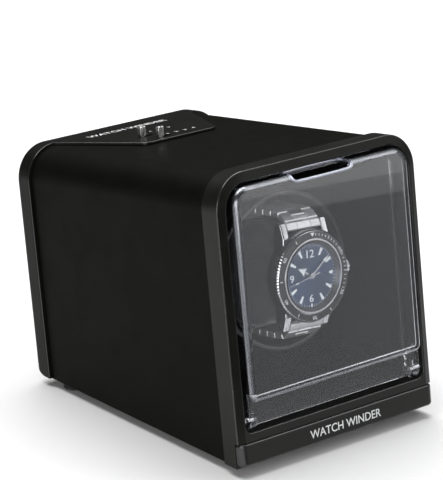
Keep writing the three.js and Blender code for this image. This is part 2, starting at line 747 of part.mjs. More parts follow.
function buildWatchCase() {
  const inner = NECK_RADIUS - NECK_WALL;
  const rim = BEZEL_TOP;
  const floor = DIAL_TOP + 1;
  const middle = turned([
    [0, floor],
    [0, CASE_BACK],
    [15, CASE_BACK],
    [CASE_RADIUS, CASE_BACK - 4.5],
    [CASE_RADIUS, CASE_TOP],
    [NECK_RADIUS, CASE_TOP],
    [NECK_RADIUS, rim],
    [inner, rim],
    [inner, floor],
  ]);
  const lug = [
    [CASE_TOP + 0.7, 12],
    [CASE_TOP + 0.7, 19],
    [CASE_TOP + 3.2, 25.6],
    [CASE_TOP + 7, 25.6],
    [CASE_BACK - 1.5, 19],
    [CASE_BACK - 1.5, 12],
  ];
  const gap = BRACELET_HALF + 0.4;
  const lugs = [];
  for (const up of [1, -1]) {
    const side = polygon(lug.map(([y, z]) => [y, up * z]));
    lugs.push(across(side, -gap - 3.6, -gap), across(side, gap, gap + 3.6));
  }
  place(carried, "watch_case", join(middle, ...lugs), steel);
}

function buildWatchFace() {
  const bezel = turned([
    [NECK_RADIUS + FIT, CASE_TOP - FIT],
    [BEZEL_RADIUS, CASE_TOP - FIT],
    [BEZEL_RADIUS, BEZEL_TOP + 0.9],
    [BEZEL_RADIUS - 0.9, BEZEL_TOP],
    [NECK_RADIUS + FIT, BEZEL_TOP],
  ]);
  place(carried, "watch_bezel", bezel, steel);
  const inner = NECK_RADIUS - NECK_WALL - FIT;
  const plate = rodInDepth(inner, DIAL_TOP, DIAL_TOP + 0.7, 0, 0, 40);
  place(carried, "watch_dial", plate, dialBlue);
  const crystal = rodInDepth(inner, BEZEL_TOP - 0.7, BEZEL_TOP + 0.6, 0, 0, 40);
  place(carried, "watch_crystal", crystal, clearAcrylic);
  const hands = {
    hour_hand: { length: 9, half: 0.9, back: DIAL_TOP - 0.25, hour: 10 + 8 / 60 },
    minute_hand: { length: 14, half: 0.7, back: DIAL_TOP - 0.75, hour: (12 * 8) / 60 },
    second_hand: { length: 14.5, half: 0.25, back: DIAL_TOP - 1.25, hour: (12 * 43) / 60 },
  };
  for (const [name, hand] of Object.entries(hands)) {
    const front = hand.back - 0.25;
    const blade = box(-hand.half, hand.half, front, hand.back, -2, hand.length);
    const hub = rodInDepth(1.3, front, hand.back, 0, 0, 16);
    const piece = place(carried, name, join(blade, hub), chrome);
    piece.rotation.y = (hand.hour / 12) * 2 * Math.PI;
  }
  const crown = join(
    rodAcross(3.3, CASE_RADIUS + 1.8, CASE_RADIUS + 6.4, CROWN_DEPTH, 0, 20),
    rodAcross(1.6, CASE_RADIUS + FIT, CASE_RADIUS + 2, CROWN_DEPTH, 0, 20),
  );
  place(carried, "watch_crown", crown, steel);
}

// One closed loop round the cushion, opened at the watch head, in three pieces.
function buildBracelet() {
  const inner = CUSHION.high + 0.4;
  const outer = inner + BRACELET_THICKNESS;
  const back = CUSHION.back + 0.4;
  const outside = rectangle(14.5, back + BRACELET_THICKNESS, -outer, outer, 11);
  const inside = rectangle(17.6, back, -inner, inner, CUSHION.round + 0.4);
  const width = BRACELET_HALF;
  const loop = cut(across(outside, -width, width), across(inside, -width - 1, width + 1));
  const clasp = 13;
  const head = box(-50, 50, 0, 30, -21.4, 21.4);
  const keepUpper = box(-50, 50, 0, 60, 0, 50);
  const keepLower = box(-50, 50, 0, 60, -50, 0);
  const claspGap = box(-50, 50, 40, 80, -clasp - FIT, clasp + FIT);
  const band = cut(loop, head, claspGap);
  place(carried, "bracelet_upper", band.intersect(keepUpper), steel);
  place(carried, "bracelet_lower", band.intersect(keepLower), steel);
  place(carried, "bracelet_clasp", loop.intersect(box(-50, 50, 40, 80, -clasp, clasp)), steel);
}

buildShell();
buildFrontFrame();
buildPlinth();
buildRearFrame();
buildRearPanel();
buildBase();
buildFeet();
buildScrews();
buildSocket();
buildLining();
buildHingePins();
buildLid();
buildDrum();
buildAxleAndGear();
buildBush();
buildMotor();
buildPinion();
buildControls();
buildLeads();
buildCushion();
buildWatchCase();
buildWatchFace();
buildBracelet();

// The origin is the centre of the whole object's footprint, on the surface that it rests on.
const bounds = new THREE.Box3().setFromObject(winder, true);
const centre = bounds.getCenter(new THREE.Vector3());
winder.position.set(-centre.x, -centre.y, -bounds.min.z);

export default winder;
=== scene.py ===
# Looks of the watch winder box: a tilted housing, a clear tray lid on a hinge, and a drum that turns a
# wrist watch on its cushion. Shapes are made in millimetres, in the leaning space of the housing: x is
# across, d is depth square to the front face, and s runs up along the front face.
import json
import math

import bmesh
import bpy
from mathutils import Matrix, Vector


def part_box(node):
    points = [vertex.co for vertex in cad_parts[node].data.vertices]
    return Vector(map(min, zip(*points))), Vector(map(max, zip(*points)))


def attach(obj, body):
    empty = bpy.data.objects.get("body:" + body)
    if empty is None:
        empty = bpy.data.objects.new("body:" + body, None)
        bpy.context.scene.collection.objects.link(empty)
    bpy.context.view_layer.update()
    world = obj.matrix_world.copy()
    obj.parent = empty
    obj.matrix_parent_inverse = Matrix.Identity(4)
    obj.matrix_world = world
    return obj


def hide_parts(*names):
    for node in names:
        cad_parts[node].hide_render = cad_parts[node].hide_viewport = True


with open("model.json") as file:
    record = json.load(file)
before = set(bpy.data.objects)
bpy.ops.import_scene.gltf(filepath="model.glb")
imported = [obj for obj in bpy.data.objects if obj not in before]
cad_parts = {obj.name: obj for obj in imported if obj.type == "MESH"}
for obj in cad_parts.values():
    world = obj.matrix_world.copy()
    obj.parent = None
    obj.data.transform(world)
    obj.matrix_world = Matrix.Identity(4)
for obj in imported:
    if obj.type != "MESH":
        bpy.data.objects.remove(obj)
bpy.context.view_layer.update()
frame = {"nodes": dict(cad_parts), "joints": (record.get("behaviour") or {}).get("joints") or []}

# ---- Spaces and sizes

MM = 0.001
FIT = 0.3
HINGE_DEPTH = 3
HINGE_HEIGHT = 20.7
WATCH_TURN = math.radians(3.75)


def joint(name):
    return next(j for j in frame["joints"] if j["name"] == name)


AXIS = Vector(joint("drum_spin")["axis"])
TILT = math.atan2(-AXIS.z, AXIS.y)
LEVEL = Matrix.Scale(MM, 4)
LEANING = Matrix.Rotation(-TILT, 4, "X")
HINGE = Vector(joint("lid_hinge")["pos_m"])
ORIGIN = HINGE - LEANING @ Vector((0, HINGE_DEPTH, HINGE_HEIGHT)) * MM
LEAN = Matrix.Translation(ORIGIN) @ LEANING @ LEVEL
AXIS_HEIGHT = (LEAN.inverted() @ Vector(joint("drum_spin")["pos_m"])).z
ROTOR = LEAN @ Matrix.Translation((0, 0, AXIS_HEIGHT))
WATCH = ROTOR @ Matrix.Rotation(WATCH_TURN, 4, "Y")


def span(node, space=LEAN):
    """Lowest and highest corner of a CAD node in a space, in its millimetres."""
    into = space.inverted()
    points = [into @ v.co for v in frame["nodes"][node].data.vertices]
    low = Vector([min(p[i] for p in points) for i in range(3)])
    high = Vector([max(p[i] for p in points) for i in range(3)])
    return low, high


FRONT_LOW, FRONT_HIGH = span("front_frame")
REAR_LOW, REAR_HIGH = span("rear_frame")
SHELL_LOW, SHELL_HIGH = span("outer_shell")
PANEL_LOW, PANEL_HIGH = span("rear_panel")
LID_LOW, LID_HIGH = span("lid")
LINING_LOW, LINING_HIGH = span("compartment_lining")
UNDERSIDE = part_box("base_plate")[0].z

HALF = FRONT_HIGH.x
TOP = FRONT_HIGH.z
DEPTH = REAR_HIGH.y
CORNER = 17
FRAME_FACE = 4.7
BEVEL = -FRONT_LOW.y
REAR_FRONT = 143.7
REAR_ROUND = 2.5
REAR_CORNER = 8
RAIL_TOP = 15.7
SHELL_STEP = HALF - SHELL_HIGH.x
SHELL_WALL = 2.5
POST_RADIUS, POST_SIDE, POST_DEPTHS = 2.2, 24, (98, 132)
TONGUE_THICKNESS = 1.2
TONGUE_ROOT, TONGUE_TIP = 43, 21.6
KNOB_TRAVEL = 5
WINDOW_HALF, WINDOW_LOW = 50, 20
LINING_FLOOR = 66
ARC_STEPS = 14
FAR = 80  # the reach of cutting blocks, well past the front pieces


def underside(depth):
    """Height of the level underside at a depth."""
    return (UNDERSIDE / MM - ORIGIN.z / MM + math.sin(TILT) * depth) / math.cos(TILT)


def rear_underside(depth):
    """The same with the rounded lower rear corner."""
    middle = DEPTH - REAR_CORNER
    if depth <= middle + REAR_CORNER * math.sin(TILT):
        return underside(depth)
    height = underside(middle) + REAR_CORNER / math.cos(TILT)
    return height - math.sqrt(max(0, REAR_CORNER**2 - (depth - middle) ** 2))


# ---- Mesh tools

def in_depth(u, v, w):
    return (u, w, v)


def across(u, v, w):
    return (w, u, v)


def upward(u, v, w):
    return (u, v, w)


def arc(u, v, radius, start, end, steps):
    turn = [start + (end - start) * i / steps for i in range(steps + 1)]
    return [(u + radius * math.cos(a), v + radius * math.sin(a)) for a in turn]


def quarter(steps):
    """A quarter circle in steps, as pairs: how far it has gone one way, and how far it still has to go
    the other way. Both run between 0 and 1."""
    turns = [math.pi / 2 * step / steps for step in range(steps + 1)]
    return [(1 - math.cos(a), 1 - math.sin(a)) for a in turns]


def round_rect(left, right, bottom, top, upper, lower=None, steps=ARC_STEPS):
    """A rectangle with round corners, counter-clockwise from the upper end of its right side."""
    lower = upper if lower is None else lower
    square = math.pi / 2
    return (
        arc(right - upper, top - upper, upper, 0, square, steps)
        + arc(left + upper, top - upper, upper, square, 2 * square, steps)
        + arc(left + lower, bottom + lower, lower, 2 * square, 3 * square, steps)
        + arc(right - lower, bottom + lower, lower, 3 * square, 4 * square, steps)
    )


def fillet(points, radius, steps=4):
    """A polygon with each corner rounded. A point may carry its own radius as a third value."""
    made = []
    for i, point in enumerate(points):
        corner = Vector(point[:2])
        before = Vector(points[i - 1][:2]) - corner
        after = Vector(points[(i + 1) % len(points)][:2]) - corner
        size = point[2] if len(point) > 2 else radius
        if size == 0:
            made.append(tuple(corner))
            continue
        half = before.angle(after) / 2
        reach = min(size / math.tan(half), 0.48 * before.length, 0.48 * after.length)
        a = corner + before.normalized() * reach
        b = corner + after.normalized() * reach
        for step in range(steps + 1):
            t = step / steps
            made.append(tuple(a * (1 - t) ** 2 + corner * 2 * t * (1 - t) + b * t**2))
    return made


def inset(outline, amount):
    """A counter-clockwise outline moved inwards."""
    if amount == 0:
        return list(outline)
    moved = []
    count = len(outline)
    for i, point in enumerate(outline):
        here = Vector(point)
        back, ahead = i - 1, (i + 1) % count
        while (Vector(outline[back]) - here).length < 1e-6:
            back -= 1
        while (Vector(outline[ahead]) - here).length < 1e-6:
            ahead = (ahead + 1) % count
        into = (here - Vector(outline[back])).normalized()
        out = (Vector(outline[ahead]) - here).normalized()
        normal = Vector((-into.y - out.y, into.x + out.x)).normalized()
        moved.append(tuple(here + normal * amount / max(0.3, normal.dot(Vector((-into.y, into.x))))))
    return moved


def loft(rings, loop=False):
    """A closed mesh through rings of equal length, as a loop of rings or capped at both ends."""
    made = bmesh.new()
    grid = [[made.verts.new(point) for point in ring] for ring in rings]
    pairs = list(zip(grid, grid[1:]))
    if loop:
        pairs.append((grid[-1], grid[0]))
    else:
        made.faces.new(list(reversed(grid[0])))
        made.faces.new(grid[-1])
    for near, far in pairs:
        for i in range(len(near)):
            j = (i + 1) % len(near)
            made.faces.new((near[i], near[j], far[j], far[i]))
    bmesh.ops.remove_doubles(made, verts=made.verts, dist=1e-4)
    bmesh.ops.dissolve_degenerate(made, edges=made.edges, dist=1e-5)
    bmesh.ops.recalc_face_normals(made, faces=made.faces)
    return made


def slab(outline, start, end, place, round_start=0.0, round_end=0.0, steps=3):
    """An outline made solid from start to end, with rounded rims."""
    rings = []
    turns = quarter(steps)
    for gone, to_go in turns if round_start else turns[:1]:
        drawn = inset(outline, round_start * to_go)
        rings.append([place(u, v, start + round_start * gone) for u, v in drawn])
    for gone, to_go in turns if round_end else turns[:1]:
        drawn = inset(outline, round_end * gone)
        rings.append([place(u, v, end - round_end * to_go) for u, v in drawn])
    return loft(rings)


def lathe(profile, sides=72, ripple=None):
    """A closed profile of (radius, depth) points turned about the depth axis. A ripple takes some of
    the radius away at each angle."""
    rings = []
    for radius, depth in profile:
        ring = []
        for i in range(sides):
            a = 2 * math.pi * i / sides
            r = radius - (ripple(a, radius) if ripple else 0)
            ring.append((r * math.cos(a), depth, r * math.sin(a)))
        rings.append(ring)
    return loft(rings, loop=True)


def block(low, high, edge=0.3, steps=3):
    """A box with rounded edges."""
    made = bmesh.new()
    bmesh.ops.create_cube(made, size=1)
    for v in made.verts:
        v.co = Vector([low[i] if v.co[i] < 0 else high[i] for i in range(3)])
    if edge:
        bmesh.ops.bevel(
            made, geom=list(made.edges), offset=edge, segments=steps, profile=0.5, affect="EDGES"
        )
    bmesh.ops.recalc_face_normals(made, faces=made.faces)
    return made


def rod(radius, start, end, place, u=0.0, v=0.0, edge=0.2, sides=40):
    """A round bar with rounded rims."""
    outline = arc(u, v, radius, 0, 2 * math.pi * (1 - 1 / sides), sides - 1)
    return slab(outline, start, end, place, edge, edge, 2)


def tube(points, radius, sides=12, closed=False):
    """A round bar along a list of points."""
    path = [Vector(p) for p in points]
    count = len(path)
    rings = []
    normal = None
    for i, point in enumerate(path):
        ahead = path[(i + 1) % count] if closed or i + 1 < count else point
        back = path[i - 1] if closed or i else point
        along = (ahead - back).normalized()
        if normal is None:
            normal = along.orthogonal().normalized()
        normal = (normal - along * normal.dot(along)).normalized()
        side = along.cross(normal)
        turn = [2 * math.pi * k / sides for k in range(sides)]
        rings.append([point + (normal * math.cos(a) + side * math.sin(a)) * radius for a in turn])
    return loft(rings, loop=closed)


def as_mesh(name, made):
    mesh = bpy.data.meshes.new(name)
    made.to_mesh(mesh)
    made.free()
    return mesh


def in_scene(name, data):
    """A new object for a mesh, curve, light or camera."""
    made = bpy.data.objects.new(name, data)
    bpy.context.scene.collection.objects.link(made)
    return made


def merge(*parts):
    """One mesh of several closed ones."""
    whole = bmesh.new()
    for part in parts:
        mesh = as_mesh("part", part)
        whole.from_mesh(mesh)
        bpy.data.meshes.remove(mesh)
    return whole


def moved(made, matrix):
    bmesh.ops.transform(made, matrix=matrix, verts=made.verts)
    return made


def carved(operation, whole, tools):
    """The exact union or difference of closed meshes."""
    objects = [in_scene("part", as_mesh("part", part)) for part in (whole, *tools)]
    for tool in objects[1:]:
        step = objects[0].modifiers.new("carve", "BOOLEAN")
        step.operation = operation
        step.solver = "EXACT"
        step.object = tool
    depsgraph = bpy.context.evaluated_depsgraph_get()
    made = bmesh.new()
    made.from_object(objects[0], depsgraph)
    for holder in objects:
        mesh = holder.data
        bpy.data.objects.remove(holder)
        bpy.data.meshes.remove(mesh)
    bmesh.ops.remove_doubles(made, verts=made.verts, dist=1e-4)
    return made


def cut(whole, *tools):
    return carved("DIFFERENCE", whole, tools)


def union(whole, *others):
    return carved("UNION", whole, others)


def add(name, made, material, body, space=LEAN, replaces=(), sharp=32, rim=None):
    """A finished piece: smooth between its sharp edges, with its own millimetres kept as "place".
    Its forward-facing rounded edges can have a material of their own: a lighter colour on the housing
    mouldings, which is a painted highlight, and a hazier acrylic on the lid."""
    made.normal_update()
    mesh = as_mesh(name, made)
    mesh.materials.append(material)
    if rim:
        mesh.materials.append(rim)
        for face in mesh.polygons:
            # Faces that face forward get the rim material; on the housing mouldings that is a painted
            # highlight along the edges.
            face.material_index = int(-0.9 < face.normal.y < -0.1)
    local = mesh.attributes.new("place", "FLOAT_VECTOR", "POINT")
    local.data.foreach_set("vector", [c for v in mesh.vertices for c in v.co])
    mesh.transform(space)
    mesh.shade_smooth()
    mesh.set_sharp_from_angle(angle=math.radians(sharp))
    piece = in_scene(name, mesh)
    if sharp < 180:
        piece.modifiers.new("even_normals", "WEIGHTED_NORMAL").keep_sharp = True
    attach(piece, body)
    if replaces:
        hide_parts(*replaces)
    return piece


# ---- Material tools

class Finish:
    """A material with one Principled shader and the nodes that drive it."""

    def __init__(self, name, color, roughness, metallic=0.0, **sockets):
        self.material = bpy.data.materials.new(name)
        self.material.use_nodes = True
        self.nodes = self.material.node_tree.nodes
        self.links = self.material.node_tree.links
        self.shader = self.nodes["Principled BSDF"]
        self.color = (*color, 1)
        self.roughness = roughness
        self.bump = None
        self.feed(self.shader, Base_Color=self.color, Roughness=roughness, Metallic=metallic, **sockets)

    def node(self, kind, **settings):
        made = self.nodes.new("ShaderNode" + kind)
        for key, value in settings.items():
            setattr(made, key, value)
        return made

    def join(self, value, socket):
        """Links a node's output to a socket, or sets the socket to a constant."""
        if isinstance(value, bpy.types.NodeSocket):
            self.links.new(value, socket)
        else:
            socket.default_value = value

    def feed(self, node, **inputs):
        for key, value in inputs.items():
            self.join(value, node.inputs[key.replace("_", " ")])
        return node

    def scaled(self, vector, amount):
        """A vector or a colour times a number."""
        made = self.node("VectorMath", operation="SCALE")
        self.join(vector, made.inputs[0])
        self.join(amount, made.inputs["Scale"])
        return made.outputs[0]

    def parts(self, vector):
        """A vector's X, Y and Z."""
        return self.feed(self.node("SeparateXYZ"), Vector=vector).outputs

    def millimetres(self):
        """The place on the object in the row frame, in millimetres."""
        return self.scaled(self.node("TexCoord").outputs["Object"], 1 / MM)

    def place(self):
        """The place in the piece's own space, in its millimetres."""
        return self.node("Attribute", attribute_name="place").outputs["Vector"]

    def math(self, operation, a, b=0.0):
        made = self.node("Math", operation=operation)
        self.join(a, made.inputs[0])
        self.join(b, made.inputs[1])
        return made.outputs[0]

    def noise(self, size, detail=3.0, where=None, stretch=None):
        """Noise from 0 to 1 with features of a size in millimetres."""
        where = where or self.millimetres()
        if stretch:
            where = self.feed(self.node("Mapping"), Vector=where, Scale=stretch).outputs[0]
        made = self.feed(self.node("TexNoise"), Vector=where, Scale=1 / size, Detail=detail)
        return made.outputs["Fac"]

    def remap(self, value, low, high, out_low, out_high):
        made = self.node("MapRange")
        self.feed(made, Value=value, From_Min=low, From_Max=high, To_Min=out_low, To_Max=out_high)
        return made.outputs["Result"]

    def tint(self, amount, size):
        """The base colour, lighter and darker in soft patches."""
        patches = self.remap(self.noise(size, 4), 0.3, 0.7, 1 - amount, 1 + amount)
        self.feed(self.shader, Base_Color=self.scaled(self.color[:3], patches))

    def gloss(self, amount, size, stretch=None):
        """The roughness, higher and lower in patches."""
        noise = self.noise(size, 4, stretch=stretch)
        rough = self.remap(noise, 0.3, 0.7, self.roughness - amount, self.roughness + amount)
        self.feed(self.shader, Roughness=rough)

    def mixed(self, share, first, second):
        """Two shaders mixed by the second one's share."""
        made = self.node("MixShader")
        for value, socket in zip((share, first.outputs[0], second.outputs[0]), made.inputs):
            self.join(value, socket)
        return made

    def relief(self, height, strength, depth):
        """A bump from a height, on top of any earlier one. The depth is in millimetres."""
        made = self.feed(self.node("Bump"), Height=height, Strength=strength, Distance=depth * MM)
        if self.bump:
            self.feed(made, Normal=self.bump)
        self.bump = made.outputs[0]
        self.feed(self.shader, Normal=self.bump)


def moulded(name, color, roughness, grain=0.35, depth=0.03, **sockets):
    """Plastic or powder paint with a fine moulded grain."""
    made = Finish(name, color, roughness, **sockets)
    made.tint(0.12, 18)
    made.gloss(0.05, 9)
    made.relief(made.noise(grain, 2), 0.5, depth)
    return made.material


def brushed(name, color, roughness, direction=(1, 1, 12), metallic=1.0):
    """Metal brushed along one direction of the row frame."""
    made = Finish(name, color, roughness, metallic)
    made.tint(0.08, 6)
    made.gloss(0.07, 0.8, stretch=direction)
    made.relief(made.noise(0.5, 3, stretch=direction), 0.25, 0.01)
    return made.material


def polished(name, color, roughness, metallic=1.0, **sockets):
    """Polished metal with faint handling marks."""
    made = Finish(name, color, roughness, metallic, **sockets)
    made.tint(0.05, 8)
    made.gloss(min(0.03, roughness * 0.5), 3)
    made.relief(made.noise(1.5, 4), 0.08, 0.01)
    return made.material


def acrylic(name, color, roughness, ior, haze):
    """Clear plastic. Lamps shine through it, and a trace of haze spreads what it reflects."""
    made = Finish(name, color, roughness, Transmission_Weight=1.0, IOR=ior)
    made.gloss(roughness * 0.5, 14)
    made.relief(made.noise(40, 1), 0.01, 0.1)
    sheen = made.feed(made.node("BsdfGlossy"), Color=(0.88, 0.92, 1.0, 1), Roughness=0.3)
    share = made.remap(made.noise(30, 3), 0.3, 0.7, haze * 0.85, haze)
    veil = made.mixed(share, made.shader, sheen)
    clear = made.feed(made.node("BsdfTransparent"), Color=(0.93, 0.94, 0.96, 1))
    surface = made.mixed(made.node("LightPath").outputs["Is Shadow Ray"], veil, clear)
    made.feed(made.nodes["Material Output"], Surface=surface.outputs[0])
    return made.material


def sunburst(name, color, roughness):
    """A dial lacquered over fine rays that fan out from its centre. Its colour is lighter in two opposite
    lobes, a painted sheen, and varies a little along the rays.
    """
    made = Finish(name, color, roughness, 0.6, Coat_Weight=0.6, Coat_Roughness=0.05)
    parts = made.parts(made.place())
    angle = made.math("ARCTAN2", parts["Z"], parts["X"])
    fan = made.node("CombineXYZ")
    made.feed(fan, X=made.math("COSINE", angle), Y=made.math("SINE", angle))
    rays = made.noise(0.02, 2, fan.outputs[0])
    # Painted sheen: the colour is lighter in two opposite lobes, the bright bow-tie that light makes on a
    # sunburst dial, and it turns with the dial.
    painted_sheen_lobes = made.remap(made.math("SINE", made.math("MULTIPLY", angle, 2.0)), -1, 1, 0.75, 1.15)
    light = made.math("ADD", painted_sheen_lobes, made.remap(rays, 0.3, 0.7, -0.15, 0.15))
    made.feed(made.shader, Base_Color=made.scaled(color, light))
    made.relief(rays, 0.3, 0.01)
    return made.material


def woven(name, color, thread):
    """A soft woven cloth with a nap."""
    made = Finish(name, color, 0.9, Sheen_Weight=0.5, Sheen_Roughness=0.4)
    made.tint(0.2, 5)
    parts = made.parts(made.scaled(made.place(), math.pi / thread))
    warp = made.math("SINE", parts["X"])
    weft = made.math("SINE", made.math("ADD", parts["Z"], parts["Y"]))
    made.relief(made.math("MULTIPLY", warp, weft), 0.7, 0.12)
    made.relief(made.noise(0.4, 3), 0.4, 0.08)
    return made.material


SATIN_BLACK = moulded("satin_black", (0.0078, 0.008, 0.0067), 0.35, 0.3, 0.01, Specular_IOR_Level=0.2)
# Lighter in colour and glossier than satin_black, for the forward-facing rounded edges: the lighter colour
# is a painted highlight.
PAINTED_EDGE_HIGHLIGHT = moulded("painted_edge_highlight", (0.02, 0.02, 0.021), 0.24, 0.3, 0.005, Specular_IOR_Level=0.6)
SHELL_BLACK = moulded("matte_black", (0.0032, 0.0035, 0.0022), 0.5, 0.35, 0.02, Specular_IOR_Level=0.05)
PANEL_BLACK = moulded("panel_black", (0.006, 0.0062, 0.0053), 0.38, 0.3, 0.01, Specular_IOR_Level=0.12)
GLOSS_BLACK = moulded("gloss_black", (0.006, 0.006, 0.006), 0.15, 2.0, 0.01)
LINING = moulded("lining_grey", (0.005, 0.005, 0.0054), 0.8, 0.8, 0.01, Specular_IOR_Level=0.1)
RUBBER = moulded("foot_rubber", (0.012, 0.012, 0.012), 0.8, 0.5, 0.08)
DRUM_BLACK = moulded("drum_black", (0.02, 0.02, 0.021), 0.35, 0.4, 0.02)
STEEL = brushed("steel", (0.55, 0.56, 0.57), 0.3)
CASE_STEEL = polished("case_steel", (0.62, 0.63, 0.64), 0.16)
LINK_STEEL = brushed("link_steel", (0.9, 0.9, 0.91), 0.46, (12, 1, 1))
CHROME = polished("chrome", (0.78, 0.79, 0.8), 0.06)
KNOB_NICKEL = polished("knob_nickel", (0.9, 0.9, 0.89), 0.22)
BRONZE = brushed("bronze", (0.5, 0.32, 0.14), 0.35)
NYLON = moulded("white_nylon", (0.72, 0.70, 0.64), 0.45, 0.5, 0.03, Subsurface_Weight=0.1)
BOARD_GREEN = moulded("board_green", (0.02, 0.11, 0.045), 0.35, 1.2, 0.03)
LEAD_BLACK = moulded("lead_black", (0.012, 0.012, 0.013), 0.45, 0.5, 0.03)
INSERT_GREY = polished("insert_grey", (0.05, 0.051, 0.053), 0.34, 0.7)
PRINT_WHITE = moulded("print_white", (0.72, 0.73, 0.74), 0.5, 0.3, 0.01)
LUME = moulded("lume", (0.74, 0.77, 0.76), 0.5, 0.4, 0.02)
DIAL_BLUE = sunburst("dial_blue", (0.0095, 0.036, 0.092), 0.35)
CUSHION_CLOTH = woven("cushion_cloth", (0.035, 0.035, 0.038), 0.7)
LID_CLEAR = acrylic("clear_acrylic", (0.965, 0.97, 0.985), 0.015, 1.49, 0.01)
LID_EDGE = acrylic("acrylic_edge", (0.86, 0.86, 0.97), 0.05, 1.49, 0.2)
LID_RIM = acrylic("acrylic_rim", (0.84, 0.83, 0.96), 0.05, 1.49, 0.32)
CRYSTAL = acrylic("watch_glass", (0.97, 0.98, 1.0), 0.01, 1.3, 0.01)


# ---- Housing

def portal(amount, depth, bottom=underside):
    """The housing's outline at a depth: two round upper corners over the level underside."""
    low, radius = bottom(depth), CORNER - amount
    outline = round_rect(-HALF + amount, HALF - amount, low, TOP - amount, radius, 0)
    return [in_depth(x, s, depth) for x, s in outline]


def opening(outline, depth, grow=0.0):
    return [in_depth(x, s, depth) for x, s in inset(outline, -grow)]


def knob_slot(node):
    """The opening that a slide knob travels in."""
    low, high = span(node)
    middle = (low.y + high.y) / 2
    start = (low.x + high.x) / 2
    reach, half_wide = 1.3, 1.2
    first = (start - reach, middle - half_wide, TOP - 8)
    last = (start + KNOB_TRAVEL + reach, middle + half_wide, TOP + 2)
    return block(first, last, 0)


def add_edged(name, made, material, node):
    """A satin moulding of the housing whose forward edges are glossier and lighter in colour: the lighter
    colour is a painted highlight.
    """
    add(name, made, material, "housing", LEAN, [node], rim=PAINTED_EDGE_HIGHLIGHT)


def build_front_frame():
    ease = 0.7
    mouth = round_rect(
        -HALF + FRAME_FACE, HALF - FRAME_FACE, RAIL_TOP, TOP - FRAME_FACE, CORNER - FRAME_FACE, 4
    )
    rings = [portal(0.2, FRONT_HIGH.y), portal(0, FRONT_HIGH.y - 0.2)]
    rings += [portal(ease * gone, ease * to_go) for gone, to_go in quarter(4)]
    rings += [portal(FRAME_FACE - 1.1, -BEVEL + 0.1), portal(FRAME_FACE - ease, -BEVEL)]
    rings += [opening(mouth, -BEVEL + ease * gone, ease * to_go) for gone, to_go in quarter(3)]
    rings.append(opening(mouth, FRONT_HIGH.y))
    high = span("plinth")[1]
    pocket = block((-FAR, -FAR, -FAR), (FAR, high.y + FIT, high.z + FIT), 0)
    made = cut(loft(rings, loop=True), pocket)
    add_edged("front_frame_shell", made, SATIN_BLACK, "front_frame")


def build_plinth():
    low, high = span("plinth")
    corner, behind = 4, 6
    plan = round_rect(low.x, high.x, low.y, high.y + behind, corner)
    bar = slab(plan, low.z, high.z, upward, 1.7, 1.2, 6)
    made = cut(bar, block((-FAR, high.y, -FAR), (FAR, FAR, FAR), 0))
    add_edged("plinth_bar", made, SATIN_BLACK, "plinth")


def build_shell():
    over_the_top = 2 * ARC_STEPS + 2
    rings = []
    for depth in (SHELL_LOW.y, SHELL_HIGH.y):
        low = underside(depth)
        faces = []
        for amount in (SHELL_STEP, SHELL_STEP + SHELL_WALL):
            arch = portal(amount, depth)[:over_the_top]
            faces.append([in_depth(arch[0][0], low, depth), *arch, in_depth(arch[-1][0], low, depth)])
        rings.append(faces[0] + faces[1][::-1])
    walls = cut(loft(rings), knob_slot("direction_knob"), knob_slot("programme_knob"))
    start, end = span("direction_switch")[0].z, SHELL_HIGH.z - 1
    posts = [
        rod(POST_RADIUS, start, end, upward, x, depth, 0.2, 24)
        for x in (-POST_SIDE, POST_SIDE)
        for depth in POST_DEPTHS
    ]
    made = merge(walls, *posts)
    add("housing_shell", made, SHELL_BLACK, "housing", replaces=["outer_shell"])


def build_rear_frame():
    seat = round_rect(-HALF + FRAME_FACE, HALF - FRAME_FACE, 27, TOP - FRAME_FACE, 12)
    throat = round_rect(-HALF + 7.5, HALF - 7.5, 29.8, TOP - 7.5, 16)
    rings = [portal(0.5, REAR_FRONT), portal(0.15, REAR_FRONT + 0.15), portal(0, REAR_FRONT + 0.5)]
    for step in range(6):
        depth = DEPTH - REAR_CORNER + step * (REAR_CORNER - REAR_ROUND) / 6
        rings.append(portal(0, depth, rear_underside))
    for gone, to_go in quarter(8):
        rings.append(portal(REAR_ROUND * gone, DEPTH - REAR_ROUND * to_go, rear_underside))
    floor = PANEL_LOW.y - FIT
    rings += [opening(seat, DEPTH, 0.1), opening(seat, DEPTH - 0.1), opening(seat, floor)]
    rings += [opening(throat, floor), opening(throat, REAR_FRONT)]
    ring = loft(rings, loop=True)
    front, root = REAR_LOW.y, REAR_FRONT + 1
    plan = [(-TONGUE_ROOT, root, 0), (-TONGUE_TIP, front), (TONGUE_TIP, front), (TONGUE_ROOT, root, 0)]
    plan = fillet(plan, 5, 8)
    tongue = slab(plan, TOP - TONGUE_THICKNESS, TOP, upward, 0, 0.45, 4)
    slotted = cut(tongue, knob_slot("direction_knob"), knob_slot("programme_knob"))
    made = merge(ring, slotted)
    add_edged("rear_frame_shell", made, PANEL_BLACK, "rear_frame")


def middle_of(node, space=LEAN):
    low, high = span(node, space)
    return (low + high) / 2


def build_rear_panel():
    low, high = PANEL_LOW, PANEL_HIGH
    outline = round_rect(low.x, high.x, low.z, high.z, 11.7)
    plate = slab(outline, low.y, high.y, in_depth, 0.2, 0.4)
    start, end = low.y - 5, high.y + 5
    jack = middle_of("power_socket")
    tools = [rod(4.1, start, end, in_depth, jack.x, jack.z, 0)]
    for i in range(4):
        screw = middle_of(f"panel_screw_{i + 1}")
        tools.append(rod(1.5, start, end, in_depth, screw.x, screw.z, 0, 24))
    made = cut(plate, *tools)
    add("back_panel", made, SHELL_BLACK, "housing", replaces=["rear_panel"])


